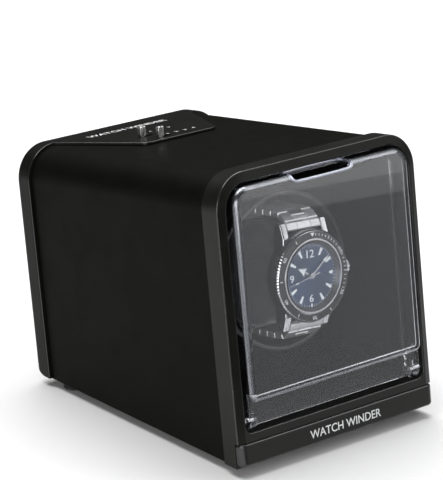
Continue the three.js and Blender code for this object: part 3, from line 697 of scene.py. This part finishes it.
def screw_mesh(length, radius=1.2):
    """A pan-head screw with a crossed recess, its head's underside at the origin and its top facing +d."""
    head = [(0, 0), (2.1, 0), (2.1, 0.55), (1.85, 0.95), (1.2, 1.17), (0, 1.2)]
    top = lathe(fillet(head, 0.08, 2), 40)
    long, thin, floor = 1.2, 0.26, 0.65
    recess = [block((-x, floor, -z), (x, 3, z), 0) for x, z in ((long, thin), (thin, long))]
    shank = rod(radius, -length, 0.1, in_depth, 0, 0, 0.3, 24)
    return merge(cut(top, *recess), shank)


def build_screws():
    sets = {
        "panel_screw": (4, LEAN, 6, Matrix.Identity(4)),
        "bracket_screw": (4, LEAN, 18, Matrix.Identity(4)),
        "motor_screw": (2, LEAN, 5, Matrix.Rotation(math.pi, 4, "Z")),
        "base_screw": (4, LEVEL, 9, Matrix.Rotation(-math.pi / 2, 4, "X")),
    }
    half_head = 0.6
    for prefix, (count, space, length, turn) in sets.items():
        away = turn @ Vector((0, 1, 0))
        for i in range(count):
            node = f"{prefix}_{i + 1}"
            base = middle_of(node, space) + away * (length / 2 - half_head)
            twist = Matrix.Rotation(0.4 + 1.1 * i, 4, "Y")
            made = moved(screw_mesh(length), Matrix.Translation(base) @ turn @ twist)
            add(node + "_cross", made, STEEL, "housing", space, [node])


def build_feet():
    for node in ("foot_front_left", "foot_front_right", "foot_rear_left", "foot_rear_right"):
        low, high = span(node, LEVEL)
        radius, tall = (high.x - low.x) / 2, high.z - low.z
        profile = [(0, 0), (radius - 1, 0), (radius, 0.9), (radius - 0.4, tall), (0, tall)]
        pad = lathe(fillet(profile, 0.5, 4), 48)
        upright = Matrix.Translation(((low.x + high.x) / 2, (low.y + high.y) / 2, 0))
        pad = moved(pad, upright @ Matrix.Rotation(math.pi / 2, 4, "X"))
        add(node + "_pad", pad, RUBBER, "housing", LEVEL, [node])


def build_socket():
    low, high = span("power_socket")
    middle = (low + high) / 2
    back, rim = high.y, span("rear_panel")[1].y + FIT
    profile = [
        (0, low.y), (3.8, low.y), (3.8, rim), (5.6, rim), (5.6, back - 0.5), (4.9, back), (2.8, back),
        (2.8, low.y + 2.5), (0.9, low.y + 2.5), (0.9, back - 1.9), (0.5, back - 1.5), (0, back - 1.5),
    ]
    barrel = moved(lathe(fillet(profile, 0.15, 2), 48), Matrix.Translation((middle.x, 0, middle.z)))
    add("charging_socket", barrel, GLOSS_BLACK, "housing", replaces=["power_socket"])


def build_lining():
    front, back = LINING_LOW.y, LINING_HIGH.y
    wall, flange_thick, chamfer, lip, corner, tub_top = 2, 2.2, 1.5, 1.2, 4, TOP - 8.8
    side, sill = WINDOW_HALF, WINDOW_LOW
    flange = round_rect(LINING_LOW.x, LINING_HIGH.x, LINING_LOW.z, LINING_HIGH.z, 12, 3.7)
    tub = round_rect(-side - wall, side + wall, sill - wall, tub_top + wall, 10, 8)
    hollow = round_rect(-side, side, sill, tub_top, 8, 6)
    shoulder = front + flange_thick
    rings = [opening(tub, back, -chamfer), opening(tub, back - chamfer), opening(tub, shoulder)]
    rings += [opening(flange, shoulder), opening(flange, front)]
    rings += [opening(hollow, front + lip * gone, lip * to_go) for gone, to_go in quarter(4)]
    for gone, to_go in quarter(5):
        rings.append(opening(hollow, LINING_FLOOR - corner * to_go, -corner * gone))
    bush_hole = rod(6.3, back - 20, back + 20, in_depth, 0, AXIS_HEIGHT, 0, 48)
    made = cut(loft(rings), bush_hole)
    add("lining_tub", made, LINING, "housing", replaces=["compartment_lining"])


def build_leads():
    motor, motor_back = middle_of("gear_motor").z, span("gear_motor")[1].y
    jack, jack_front = middle_of("power_socket"), span("power_socket")[0].y
    board = span("circuit_board")[0].z - 0.2
    routes = {
        "motor_lead": [
            (0, motor_back + 0.2, motor), (0, motor_back + 4.4, motor + 3), (-2.6, 126.6, 72),
            (-6, 128, 98), (-6, 128, board),
        ],
        "power_lead": [
            (jack.x, jack_front - 0.2, jack.z), (jack.x, 136.5, jack.z + 3), (30.5, 134, 74),
            (20, 131, 100), (20, 131, board),
        ],
    }
    for node, points in routes.items():
        sleeve = tube(smooth_path(points, 10), 1.0, 14)
        add(node + "_sleeve", sleeve, LEAD_BLACK, "housing", replaces=[node])


def smooth_path(points, steps):
    """A Catmull-Rom curve through points."""
    known = [Vector(p) for p in points]
    known = [known[0] * 2 - known[1], *known, known[-1] * 2 - known[-2]]
    made = []
    for a, b, c, d in zip(known, known[1:], known[2:], known[3:]):
        bend, twist = 2 * a - 5 * b + 4 * c - d, 3 * b - a - 3 * c + d
        for step in range(steps):
            t = step / steps
            made.append(0.5 * (2 * b + (c - a) * t + bend * t**2 + twist * t**3))
    made.append(known[-2])
    return made


# ---- Lid

def build_lid():
    half, top, front, back = LID_HIGH.x, LID_HIGH.z, LID_LOW.y, LID_HIGH.y
    wall, plate, lip, ease, edge, face_low = 2.2, 2.5, 0.3, 1.2, 3, 29.6
    face = round_rect(-half, half, face_low, top, 8, 4)
    pocket = round_rect(-half + wall, half - wall, face_low + 2.4, top - wall, 6, 2)
    rings = [opening(face, front + edge * gone, -edge * to_go) for gone, to_go in quarter(5)]
    rings += [opening(face, back - lip), opening(face, back, -lip)]
    rings += [opening(pocket, back, lip), opening(pocket, back - lip)]
    floor = front + plate
    rings += [opening(pocket, floor + ease * to_go, -ease * gone) for gone, to_go in quarter(4)]
    strip_front, strip_back, strip_low = -1, 1.2, 18.7
    doorway = block((-half + wall, strip_back, 0), (half - wall, FAR, face_low + 4), 0)
    tray = cut(loft(rings), doorway)
    strip = block((-half, strip_front, strip_low), (half, strip_back, face_low + 1), 0.35)
    knuckle, knuckle_long, pin_hole = 4.4, 4.2, 1.3
    under, over = HINGE_HEIGHT - 2, face_low + 6
    cheek = [
        (strip_front, under), (HINGE_DEPTH, under), (HINGE_DEPTH + knuckle - 0.2, HINGE_HEIGHT),
        (back, HINGE_HEIGHT + 6), (back, over), (strip_front, over),
    ]
    cheek = fillet(cheek, 0.8)
    parts = [strip]
    for side in (-1, 1):
        ends = sorted((side * half, side * (half - wall)))
        parts.append(slab(cheek, *ends, across, 0.3, 0.3))
        ends = sorted((side * half, side * (half - knuckle_long)))
        parts.append(rod(knuckle, *ends, across, HINGE_DEPTH, HINGE_HEIGHT, 0.5, 48))
    notch_half, notch_low, notch_back = 18, top - 3.3, back - 3.5
    notch = round_rect(-notch_half, notch_half, notch_low, top + 20, 2.5, 2.5)
    whole = cut(
        union(tray, *parts),
        slab(notch, -20, notch_back, in_depth),
        rod(pin_hole, -FAR, FAR, across, HINGE_DEPTH, HINGE_HEIGHT, 0, 32),
    )
    add("lid_tray", whole, LID_CLEAR, "lid", LEAN, ["lid"], 25, LID_EDGE)
    bead = notch_bead(notch_half, notch_low, top, front, notch_back)
    add("notch_rim", bead, LID_RIM, "lid")


def notch_bead(half, low, top, front, back):
    """The bead all round the finger notch: over the lid's front edge at both ends, and along its back."""
    side = [
        (half + 0.2, back - 2, top - 0.6), (half + 0.5, front + 5, top - 0.8),
        (half + 0.3, front + 1.6, top - 1.8), (half - 1.4, front + 0.6, low + 0.1),
        (half - 6, front + 0.7, low - 0.3),
    ]
    points = side + [(-x, d, s) for x, d, s in side[::-1]]
    points += [(-half + 3, back, top - 0.3), (0, back + 0.2, top), (half - 3, back, top - 0.3)]
    loop = smooth_path([points[-1], *points, points[0], points[1]], 6)
    return tube(loop[6:-7], 0.75, 12, True)


# ---- Drum and drive

def build_drum():
    low, high = span("drum", WATCH)
    radius, front, back, wall = high.x, low.y, 60.5, 2.5
    inside, floor, groove = radius - wall, back - wall, radius - 0.7
    profile = [
        (3.2, floor, 0.1), (3.2, high.y, 0.3), (8, high.y), (8, back, 1), (radius, back, 2),
        (radius, front + 7, 0.4), (groove, front + 6.4, 0.2), (groove, front + 5.6, 0.2),
        (radius, front + 5, 0.4), (radius, front, 1), (inside, front, 1), (inside, floor, 2.5),
    ]
    cup = lathe(fillet(profile, 0.5, 5), 144)
    near, cheek_front, cheek_half = 23.4, 38, 16
    cheeks = [
        block((x, cheek_front, -cheek_half), (x + 2, floor + 0.5, cheek_half), 0.8)
        for x in (near, -near - 2)
    ]
    add("drum_cup", merge(cup, *cheeks), DRUM_BLACK, "rotor", WATCH, ["drum"])


def build_motor():
    low, high = span("gear_motor")
    radius, front, back = (high.x - low.x) / 2, low.y, high.y
    can, seam = radius - 0.8, front + 13.2
    profile = [
        (0, front), (radius, front), (radius, seam), (can, seam + 0.8), (can, back - 1.5),
        (4.6, back - 1.5), (4.6, back), (0, back),
    ]
    whole = lathe(fillet(profile, 0.4, 3), 72)
    reach = abs(middle_of("motor_screw_1").x)
    holes = [rod(1.5, front - 2, front + 3, in_depth, x, 0, 0, 24) for x in (-reach, reach)]
    middle = middle_of("gear_motor")
    made = moved(cut(whole, *holes), Matrix.Translation((middle.x, 0, middle.z)))
    add("geared_motor", made, STEEL, "housing", replaces=["gear_motor"])


def build_board():
    low, high = span("circuit_board")
    top = span("direction_switch")[0].z - FIT
    under = top - 1.6
    plate = block((low.x, low.y, under), (high.x, high.y, top), 0.2, 2)
    chip = block((6, 116, under - 1.2), (16, 126, under + 0.1), 0.2, 2)
    connector = block((-4, 130, top - 0.1), (8, 135, high.z), 0.3, 2)
    pitch, length = 3, 1.6
    resistors = [
        block((x, 120, under - 0.7), (x + length, 121, under + 0.1), 0.1, 1)
        for x in (-20 + pitch * i for i in range(6))
    ]
    made = merge(plate, chip, connector, *resistors)
    add("control_board", made, BOARD_GREEN, "housing", replaces=["circuit_board"])


def build_knobs():
    for name in ("direction", "programme"):
        node = name + "_knob"
        low, high = span(node)
        x, d = (low.x + high.x) / 2, (low.y + high.y) / 2
        groove_half = 0.45
        cap = block((low.x, low.y, TOP + FIT), (high.x, high.y, high.z), 0.35, 4)
        first = (x - groove_half, low.y - 2, TOP + 1.2)
        last = (x + groove_half, high.y + 2, high.z + 5)
        stem = block((x - 1, d - 0.8, low.z), (x + 1, d + 0.8, TOP + 1), 0.1, 1)
        made = merge(cut(cap, block(first, last, 0.12, 2)), stem)
        add(name + "_slider", made, KNOB_NICKEL, node, replaces=[node])


# ---- Lettering

def signs(text, width, height, place, origin=(0, 0, 0), thick=0.07, bold=0.0):
    """Raised signs of a given width and height, centred on an origin."""
    curve = bpy.data.curves.new("signs", "FONT")
    curve.body = text
    curve.extrude = 0.5
    curve.offset = bold
    curve.resolution_u = 4
    holder = in_scene("signs", curve)
    mesh = settled(holder)
    bpy.data.objects.remove(holder)
    bpy.data.curves.remove(curve)
    made = bmesh.new()
    made.from_mesh(mesh)
    bpy.data.meshes.remove(mesh)
    bmesh.ops.remove_doubles(made, verts=made.verts, dist=1e-5)
    us = [v.co.x for v in made.verts]
    vs = [v.co.y for v in made.verts]
    u0, u1, v0, v1 = min(us), max(us), min(vs), max(vs)
    for v in made.verts:
        u = ((v.co.x - u0) / (u1 - u0) - 0.5) * width
        w = ((v.co.y - v0) / (v1 - v0) - 0.5) * height
        level = (v.co.z + 0.5) * thick
        v.co = Vector(origin) + Vector(place(u, w, level))
    bmesh.ops.recalc_face_normals(made, faces=made.faces)
    return made


def facing(u, v, w):
    """Towards the front: up along the face, and out of it."""
    return (u, -w, v)


def build_labels():
    sunk = 0.02
    front, level = span("plinth")[0].y + sunk, TOP - sunk
    rows = {
        "plinth_lettering": ("WATCH WINDER", 44, 4.0, facing, (3.2, front, 6.1), 0.008),
        "panel_lettering": ("WATCH WINDER", 48, 3.8, upward, (-3, 137.2, level), 0.015),
        "direction_marks": ("<    < >    >", 13, 1.9, upward, (3.5, 119.5, level), 0.015),
        "programme_marks": ("1   2   3   4", 17, 2.1, upward, (6.5, 106.3, level), 0.015),
    }
    for name, (text, width, height, place, origin, bold) in rows.items():
        made = signs(text, width, height, place, origin, bold=bold)
        add(name, made, PRINT_WHITE, "housing")


# ---- Watch

DIAL = span("watch_dial", WATCH)
DIAL_TOP = DIAL[0].y
DIAL_RADIUS = DIAL[1].x
BEZEL_LOW, BEZEL_HIGH = span("watch_bezel", WATCH)
BEZEL_RADIUS = BEZEL_HIGH.x
CASE_BACK = span("watch_case", WATCH)[1].y
CASE_RADIUS = 20.8
CASE_TOP = 13.3
NECK_RADIUS = 17.6
INLAY_INNER, INLAY_OUTER = 0.02, 0.32


def build_case():
    back, rim, floor, inner, radius = CASE_BACK, BEZEL_LOW.y, DIAL_TOP + 1, NECK_RADIUS - 1, CASE_RADIUS
    profile = [
        (0, floor, 0), (0, back, 0), (14.5, back, 1), (16.5, back - 1.2, 1), (radius - 1.2, back - 3.2, 1),
        (radius, back - 5, 0.6), (radius, CASE_TOP, 0.5), (NECK_RADIUS, CASE_TOP, 0),
        (NECK_RADIUS, rim, 0.2), (inner, rim, 0.2), (inner, floor, 0),
    ]
    middle = lathe(fillet(profile, 0.2, 4), 144)
    flank = [
        (CASE_TOP + 0.7, 12), (CASE_TOP + 0.6, 18.5), (CASE_TOP + 3.0, 25.5), (CASE_TOP + 7, 25.5),
        (back - 1.5, 19), (back - 1.5, 12),
    ]
    near, far = 10.4, 14
    lugs = []
    for up in (1, -1):
        side = [(d, up * v) for d, v in flank]
        if up < 0:
            side.reverse()
        outline = fillet(side[::-1], 1.0, 4)
        lugs.append(slab(outline, near, far, across, 0.3, 0.9))
        lugs.append(slab(outline, -far, -near, across, 0.9, 0.3))
    add("watch_middle", merge(middle, *lugs), CASE_STEEL, "rotor", WATCH, ["watch_case"])
    outer, level = inner - 0.05, DIAL_TOP - 0.05
    flange = [(outer, rim + 0.6), (outer, level), (DIAL_RADIUS - 1.6, level)]
    ring = lathe(fillet(flange, 0.1, 2), 144)
    add("dial_flange", ring, INSERT_GREY, "rotor", WATCH)


def build_bezel():
    teeth, tooth_depth = 90, 0.32
    low, high, radius = BEZEL_LOW.y, BEZEL_HIGH.y, BEZEL_RADIUS
    bore, rim = NECK_RADIUS + FIT, radius - 0.6

    def knurl(angle, r):
        return tooth_depth * max(0, math.cos(angle * teeth)) ** 0.7 if r >= rim else 0

    profile = [
        (bore, high, 0.1), (radius, high, 0.3), (radius, low + 1.2, 0.3), (radius - 0.8, low + 0.35, 0.2),
        (radius - 0.9, low + 0.6, 0), (bore, low + 0.3, 0),
    ]
    ring = lathe(fillet(profile, 0.1, 3), teeth * 6, knurl)
    add("bezel_ring", ring, CASE_STEEL, "bezel", WATCH, ["watch_bezel"])
    inner, outer = bore + 0.05, radius - 0.95
    inlay = [
        (inner, low + INLAY_INNER), (inner, low + 0.6), (outer, low + 0.85), (outer, low + INLAY_OUTER),
    ]
    add("bezel_inlay", lathe(fillet(inlay, 0.06, 2), 144), INSERT_GREY, "bezel", WATCH)
    build_bezel_marks(inner, outer, low)


def radial(turns, radius, depth):
    """A place some turns clockwise from 12 o'clock, seen from the front, and out at a radius."""
    return Matrix.Rotation(2 * math.pi * turns, 4, "Y") @ Matrix.Translation((0, depth, radius))


def build_bezel_marks(inner, outer, low):
    """Numbers every ten minutes, long ticks between them, and short ticks over the first twenty."""
    middle, proud, thick = (inner + outer) / 2, 0.07, 0.12
    depth = low + (INLAY_INNER + INLAY_OUTER) / 2 - proud
    parts = []
    for minute in range(1, 60):
        long = minute % 5 == 0
        if minute % 10 == 0 or (minute > 20 and not long):
            continue
        reach = 0.9 if long else 0.5
        tick = block((-0.16, 0, -reach), (0.16, thick, reach), 0.03, 1)
        parts.append(moved(tick, radial(minute / 60, middle, depth)))
    for number in (10, 20, 30, 40, 50):
        flat = signs(str(number), 2.5, 1.9, facing, thick=0.1)
        parts.append(moved(flat, radial(number / 60, middle, depth + 0.1)))
    arrow = slab([(-1.2, 0.95), (0, -0.95), (1.2, 0.95)], 0, thick, in_depth)
    parts.append(moved(arrow, radial(0, middle, depth)))
    add("bezel_marks", merge(*parts), PRINT_WHITE, "bezel", WATCH)


def build_dial():
    low, high = DIAL
    profile = [(0, low.y, 0), (DIAL_RADIUS, low.y), (DIAL_RADIUS, high.y), (0, high.y, 0)]
    disc = lathe(fillet(profile, 0.08, 2), 144)
    add("dial_plate", disc, DIAL_BLUE, "rotor", WATCH, ["watch_dial"])
    level = DIAL_TOP - 0.14
    plots, rims = [], []
    for hour in (1, 2, 3, 4, 5, 7, 8, 10, 11):
        reach = 1.0 if hour == 3 else 1.7
        spot = radial(hour / 12, 12.1, level)
        taper = [(-0.75, reach), (-0.4, -reach), (0.4, -reach), (0.75, reach)]
        rim = [(u * 1.35, v * 1.13) for u, v in taper]
        plots.append(moved(slab(fillet(taper, 0.15, 2), -0.16, 0.1, in_depth, 0.05, 0, 2), spot))
        rims.append(moved(slab(fillet(rim, 0.2, 2), -0.08, 0.14, in_depth, 0.05, 0, 2), spot))
    under_six = block((-0.35, -0.1, -0.8), (0.35, 0.1, 0.8), 0)
    plots.append(moved(under_six, radial(6 / 12, 13.9, level)))
    track = []
    for minute in range(60):
        length = 0.55 if minute % 5 else 0.8
        tick = block((-0.07, 0, -length), (0.07, 0.1, length), 0)
        track.append(moved(tick, radial(minute / 60, 14.35, DIAL_TOP - 0.05)))
    add("hour_plots", merge(*plots), LUME, "rotor", WATCH)
    add("plot_frames", merge(*rims), CHROME, "rotor", WATCH)
    add("minute_track", merge(*track), PRINT_WHITE, "rotor", WATCH)
    numerals = {
        "twelve": ("12", 4.4, 3.6, 0, 10.3),
        "six": ("6", 2.3, 3.4, 0, -10.6),
        "nine": ("9", 2.3, 3.4, -11.4, 0),
    }
    for name, (text, width, height, x, v) in numerals.items():
        made = signs(text, width, height, facing, (x, DIAL_TOP + 0.02, v), 0.2)
        add("numeral_" + name, made, LUME, "rotor", WATCH)


def build_crystal():
    low, high = span("watch_crystal", WATCH)
    radius = high.x
    rise, steps = 0.25, 12
    dome = []
    for step in range(steps + 1):
        t = step / steps
        dome.append((radius * (1 - t), low.y + rise * (1 - math.sin(math.pi / 2 * t))))
    profile = [*dome, (0, high.y), (radius, high.y)]
    add("crystal_lens", lathe(profile, 144), CRYSTAL, "rotor", WATCH, ["watch_crystal"])


def mirrored(side):
    """A pointer's outline from its right side."""
    return side + [(-u, v) for u, v in side[::-1] if u]


def build_hands():
    shapes = {
        "hour_hand": {
            "metal": mirrored([(0.45, -2), (0.5, 4.4), (2.4, 3.6), (0, 9.4)]),
            "lume": mirrored([(1.5, 4.6), (0, 8.2)]),
        },
        "minute_hand": {
            "metal": mirrored([(0.35, -2), (0.42, 9.4), (0.95, 9.2), (0, 14)]),
            "lume": mirrored([(0.5, 9.9), (0, 12.8)]),
        },
        "second_hand": {
            "metal": mirrored([(0.35, -4.5), (0.18, 0), (0.1, 14.5)]),
            "lume": mirrored([(0.3, 9), (0.12, 10.8)]),
        },
    }
    for name, shape in shapes.items():
        low, high = span(name, WATCH)
        blade = slab(shape["metal"], low.y, high.y, in_depth, 0.06, 0, 2)
        hub = rod(1.3, low.y - 0.05, high.y, in_depth, 0, 0, 0.1, 32)
        space = WATCH @ Matrix.Rotation(hand_angle(name), 4, "Y")
        add(name + "_blade", merge(blade, hub), CHROME, name, space, [name])
        fill = slab(shape["lume"], low.y - 0.06, low.y + 0.05, in_depth)
        add(name + "_fill", fill, LUME, name, space)


def hand_angle(name):
    """The way that a CAD hand points, clockwise from 12 o'clock."""
    into = WATCH.inverted()
    points = [into @ v.co for v in frame["nodes"][name].data.vertices]
    tips = sorted(points, key=lambda p: p.x**2 + p.z**2)[-2:]
    tip = (tips[0] + tips[1]) / 2
    return math.atan2(tip.x, tip.z)


def build_crown():
    low, high = span("watch_crown", WATCH)
    radius, tube_radius, tube_end, end = (high.z - low.z) / 2, 1.6, low.x + 1.5, high.x
    flutes, flute_depth = 24, 0.28

    def flute(angle, r):
        return flute_depth * max(0, math.cos(angle * flutes)) if r > radius - 0.3 else 0

    profile = [
        (0, low.x, 0), (tube_radius, low.x), (tube_radius, tube_end), (radius, tube_end, 0.4),
        (radius, end - 0.5, 0.3), (radius - 0.8, end, 0.3), (0, end, 0),
    ]
    wheel = lathe(fillet(profile, 0.1, 3), flutes * 6, flute)
    middle = Matrix.Translation((0, (low.y + high.y) / 2, (low.z + high.z) / 2))
    made = moved(wheel, middle @ Matrix.Rotation(-math.pi / 2, 4, "Z"))
    add("crown_wheel", made, CASE_STEEL, "crown", WATCH, ["watch_crown"])


def strap_path():
    """The middle line of the bracelet's upper half, round to the middle of the clasp, and its thickness."""
    low, high = span("bracelet_clasp", WATCH)
    thick = high.y - low.y
    front, back = 14.5 + thick / 2, high.y - thick / 2
    top = span("bracelet_upper", WATCH)[1].z - thick / 2
    radius = 11 - thick / 2
    near, far, level = front + radius, back - radius, top - radius
    path = [(front, 0)]
    path += arc(near, level, radius, math.pi, math.pi / 2, 24)
    path += arc(far, level, radius, math.pi / 2, 0, 24)
    path.append((back, 0))
    return [Vector(p) for p in path], thick


def along(path, distance):
    """Point and heading at a distance along a path."""
    for a, b in zip(path, path[1:]):
        step = (b - a).length
        if distance <= step:
            return a + (b - a) * distance / step, (b - a).normalized()
        distance -= step
    return path[-1], (path[-1] - path[-2]).normalized()


def link(width, length, thick, place, up, crown=0.35):
    """One link: a rounded bar across, with its outer face slightly crowned, at a place on the path. In
    the bracelet's lower half, up is -1."""
    low, high = width
    point, heading = place
    made = block((low, -thick / 2, -length / 2), (high, thick / 2, length / 2), 0.45, 4)
    for v in made.verts:
        if v.co.y < 0:
            v.co.y += crown * (2 * v.co.z / length) ** 2
    turn = Matrix.Rotation(-math.atan2(heading.x, heading.y) * up, 4, "X")
    return moved(made, Matrix.Translation((0, point.x, point.y * up)) @ turn)


def build_bracelet():
    path, thick = strap_path()
    half, centre_half, seam, gap = 10, 4.1, 0.12, 0.25
    centre = (-centre_half, centre_half)
    sides = ((-half, -centre_half - seam), (centre_half + seam, half))
    low, high = span("bracelet_clasp", WATCH)
    total = sum((b - a).length for a, b in zip(path, path[1:]))
    start, last = 25.2, total - high.z - 0.4
    count = int((last - start) / 5.1)
    pitch = (last - start) / count
    end_half, end_long = 1.95, 3.7
    end_sides = ((-half, -centre_half - seam / 2), centre, (centre_half + seam / 2, half))
    for up, node in ((1, "bracelet_upper"), (-1, "bracelet_lower")):
        links = []
        for i in range(count):
            at = start + pitch * (i + 0.5)
            links += [link(side, pitch - gap, thick, along(path, at), up) for side in sides]
            if i + 1 < count:
                links.append(link(centre, pitch - gap, thick, along(path, at + pitch / 2), up))
        place = along(path, start - end_half)
        links += [link(side, end_long, thick, place, up, 0.2) for side in end_sides]
        links.append(link(centre, pitch / 2 - gap, thick, along(path, start + pitch / 4), up))
        add(node + "_links", merge(*links), LINK_STEEL, "rotor", WATCH, [node], 25)
    cover = block(low, high, 0.9, 5)
    add("clasp_cover", cover, LINK_STEEL, "rotor", WATCH, ["bracelet_clasp"])


def swollen(made, low, high, reach=4.0, voxel=1.6, pressure=4.0):
    """A cover blown up by its filling in a cloth simulation, and kept between two corners. It is
    simulated at a hundredth of its size in millimetres, and no point moves further than a reach."""
    grow, last_frame = 0.01, 20
    bmesh.ops.scale(made, vec=(grow, grow, grow), verts=made.verts)
    scene = bpy.context.scene
    cover = in_scene("cover", as_mesh("cover", made))
    grid = cover.modifiers.new("grid", "REMESH")
    grid.mode = "VOXEL"
    grid.voxel_size = voxel * grow
    cover.data = settled(cover)
    start = [v.co.copy() for v in cover.data.vertices]
    cloth = cover.modifiers.new("cloth", "CLOTH").settings
    cloth.use_pressure = True
    cloth.uniform_pressure_force = pressure
    cloth.effector_weights.gravity = 0
    for number in range(1, last_frame + 1):
        scene.frame_set(number)
    cover.data = settled(cover)
    scene.frame_set(1)
    for v, begun in zip(cover.data.vertices, start):
        move = v.co - begun
        if move.length > reach * grow:
            move *= reach * grow / move.length
        v.co = (begun + move) / grow
        for i in range(3):
            v.co[i] = min(max(v.co[i], low[i]), high[i])
        sewn_in(v, (low + high) / 2)
    smooth = cover.modifiers.new("smooth", "SUBSURF")
    smooth.levels = 1
    whole = bmesh.new()
    whole.from_mesh(settled(cover))
    bpy.data.objects.remove(cover)
    return whole


def settled(holder):
    """An object's mesh with its modifiers applied, which it then no longer has."""
    depsgraph = bpy.context.evaluated_depsgraph_get()
    mesh = bpy.data.meshes.new_from_object(holder.evaluated_get(depsgraph))
    holder.modifiers.clear()
    return mesh


def sewn_in(v, middle, seam=1.1, strap=0.9):
    """Pulls a cover in along its seam, and under the strap round it."""
    half_wide, half_tall, half_deep = 23, 27, 13.5
    seam_half, strap_half, strap_edge = 1.4, 9.5, 3
    x, d, s = v.co
    sideways, lengthwise = abs(x) / half_wide, abs(s) / half_tall
    pull = seam * math.exp(-(((d - middle.y) / seam_half) ** 2)) / half_wide
    scale = 1 - pull * min(1, max(sideways, lengthwise) ** 4)
    v.co.x, v.co.z = x * scale, s * scale
    squeeze = strap * (1 - min(1, max(0, (abs(x) - strap_half) / strap_edge)))
    v.co.z -= math.copysign(squeeze * min(1, lengthwise**6), s)
    v.co.y -= squeeze * min(1, max(0, (d - middle.y) / half_deep) ** 6)


def build_cushion():
    low, high = span("watch_cushion", WATCH)
    slack = Vector((2, 2, 2))
    made = block(low + slack, high - slack, 7, 6)
    edge = Vector((0.1, 0.1, 0.1))
    made = swollen(made, low + edge, high - edge)
    node = "watch_cushion"
    piece = add("watch_pillow", made, CUSHION_CLOTH, "rotor", WATCH, [node], 180)
    outline = round_rect(low.x + 1, high.x - 1, low.z + 1.6, high.z - 1.6, 8, steps=10)
    seam = (low.y + high.y) / 2
    cord = tube([(x, seam, s) for x, s in outline], 0.75, 10, True)
    add("cushion_piping", cord, CUSHION_CLOTH, "rotor", WATCH)


# ---- Carried-over CAD nodes

CARRIED = {
    "base_plate": SHELL_BLACK,
    "hinge_pin_left": STEEL,
    "hinge_pin_right": STEEL,
    "drum_bush": BRONZE,
    "motor_bracket": STEEL,
    "direction_switch": SHELL_BLACK,
    "programme_switch": SHELL_BLACK,
    "socket_nut": STEEL,
    "axle": STEEL,
    "drum_gear": NYLON,
    "retaining_ring": STEEL,
    "motor_pinion": BRONZE,
    "motor_shaft": STEEL,
}


def finish_carried():
    """CAD nodes that stay get their finish, and soft edges."""
    for node, material in CARRIED.items():
        piece = frame["nodes"][node]
        piece.data.materials.clear()
        piece.data.materials.append(material)
        soft = piece.modifiers.new("soft_edges", "BEVEL")
        soft.width = 0.12 * MM
        soft.segments = 2
        soft.limit_method = "ANGLE"
        soft.angle_limit = math.radians(40)


# ---- Stage, light and camera

FLOOR_SIZE = 1.4
FLOOR_FRONT = 0.16
CAMERA_AZIMUTH = math.radians(39.7)
CAMERA_ELEVATION = math.radians(18.9)
CAMERA_PLACE = (-0.77446, -0.93201, 0.49401)
SENSOR = 36
LENS = 200.7


def build_floor():
    made = bmesh.new()
    bmesh.ops.create_grid(made, x_segments=8, y_segments=8, size=FLOOR_SIZE / 2)
    bmesh.ops.translate(made, vec=(0, FLOOR_SIZE / 2 - FLOOR_FRONT, 0), verts=made.verts)
    floor = in_scene("floor", as_mesh("floor", made))
    paint = Finish("floor_paint", (0.86, 0.86, 0.86), 0.6)
    paint.gloss(0.03, 60)
    floor.data.materials.append(paint.material)


def softbox(name, place, aim, size, power):
    """An area light at a place, aimed at a point. Sizes in metres, power in watts."""
    light = bpy.data.lights.new(name, "AREA")
    light.shape = "RECTANGLE"
    light.size, light.size_y = size
    light.energy = power
    holder = in_scene(name, light)
    holder.location = place
    heading = Vector(aim) - Vector(place)
    holder.rotation_euler = heading.to_track_quat("-Z", "Y").to_euler()
    holder.visible_camera = False


def build_lights():
    """A background that is white to the camera and nearly dark to the rest, and soft lights. The lid
    mirrors the three windows."""
    world = bpy.data.worlds.new("studio")
    bpy.context.scene.world = world
    world.use_nodes = True
    tree = world.node_tree
    sky = tree.nodes["Background"]
    sky.inputs["Color"].default_value = (1, 1, 1, 1)
    path = tree.nodes.new("ShaderNodeLightPath")
    strength = tree.nodes.new("ShaderNodeMapRange")
    tree.links.new(path.outputs["Is Camera Ray"], strength.inputs["Value"])
    strength.inputs["To Min"].default_value = 0.05
    strength.inputs["To Max"].default_value = 1.0
    tree.links.new(strength.outputs["Result"], sky.inputs["Strength"])
    windows = {
        "window": (0.63, 1.6, 22),
        "window_sill": (-0.185, 0.03, 0.26),
        "low_window": (-0.51, 0.62, 2.6),
    }
    softbox("overhead", (0.1, 0.7, 1.8), (0.1, 0.7, 0), (2.2, 1.8), 62)
    for name, (height, tall, power) in windows.items():
        softbox(name, (1.9, -2.4, height), (0, 0, height), (2.8, tall), power)
    softbox("top_right", (1.1, -0.6, 1.4), (0, 0, 0.1), (1.0, 1.0), 8)
    softbox("left_card", (-0.62, -0.52, 0.22), (0, 0, 0.1), (0.6, 0.4), 3)


def build_camera():
    data = bpy.data.cameras.new("camera")
    data.sensor_width = SENSOR
    data.lens = LENS
    data.clip_start, data.clip_end = 0.05, 60
    camera = in_scene("camera", data)
    camera.location = CAMERA_PLACE
    camera.rotation_euler = (math.pi / 2 - CAMERA_ELEVATION, 0, -CAMERA_AZIMUTH)
    bpy.context.scene.camera = camera


build_front_frame()
build_plinth()
build_shell()
build_rear_frame()
build_rear_panel()
build_screws()
build_feet()
build_socket()
build_lining()
build_leads()
build_lid()
build_drum()
build_motor()
build_board()
build_knobs()
build_labels()
build_case()
build_bezel()
build_dial()
build_crystal()
build_hands()
build_crown()
build_bracelet()
build_cushion()
finish_carried()
build_floor()
build_lights()
build_camera()
bpy.context.scene.view_settings.view_transform = "Standard"
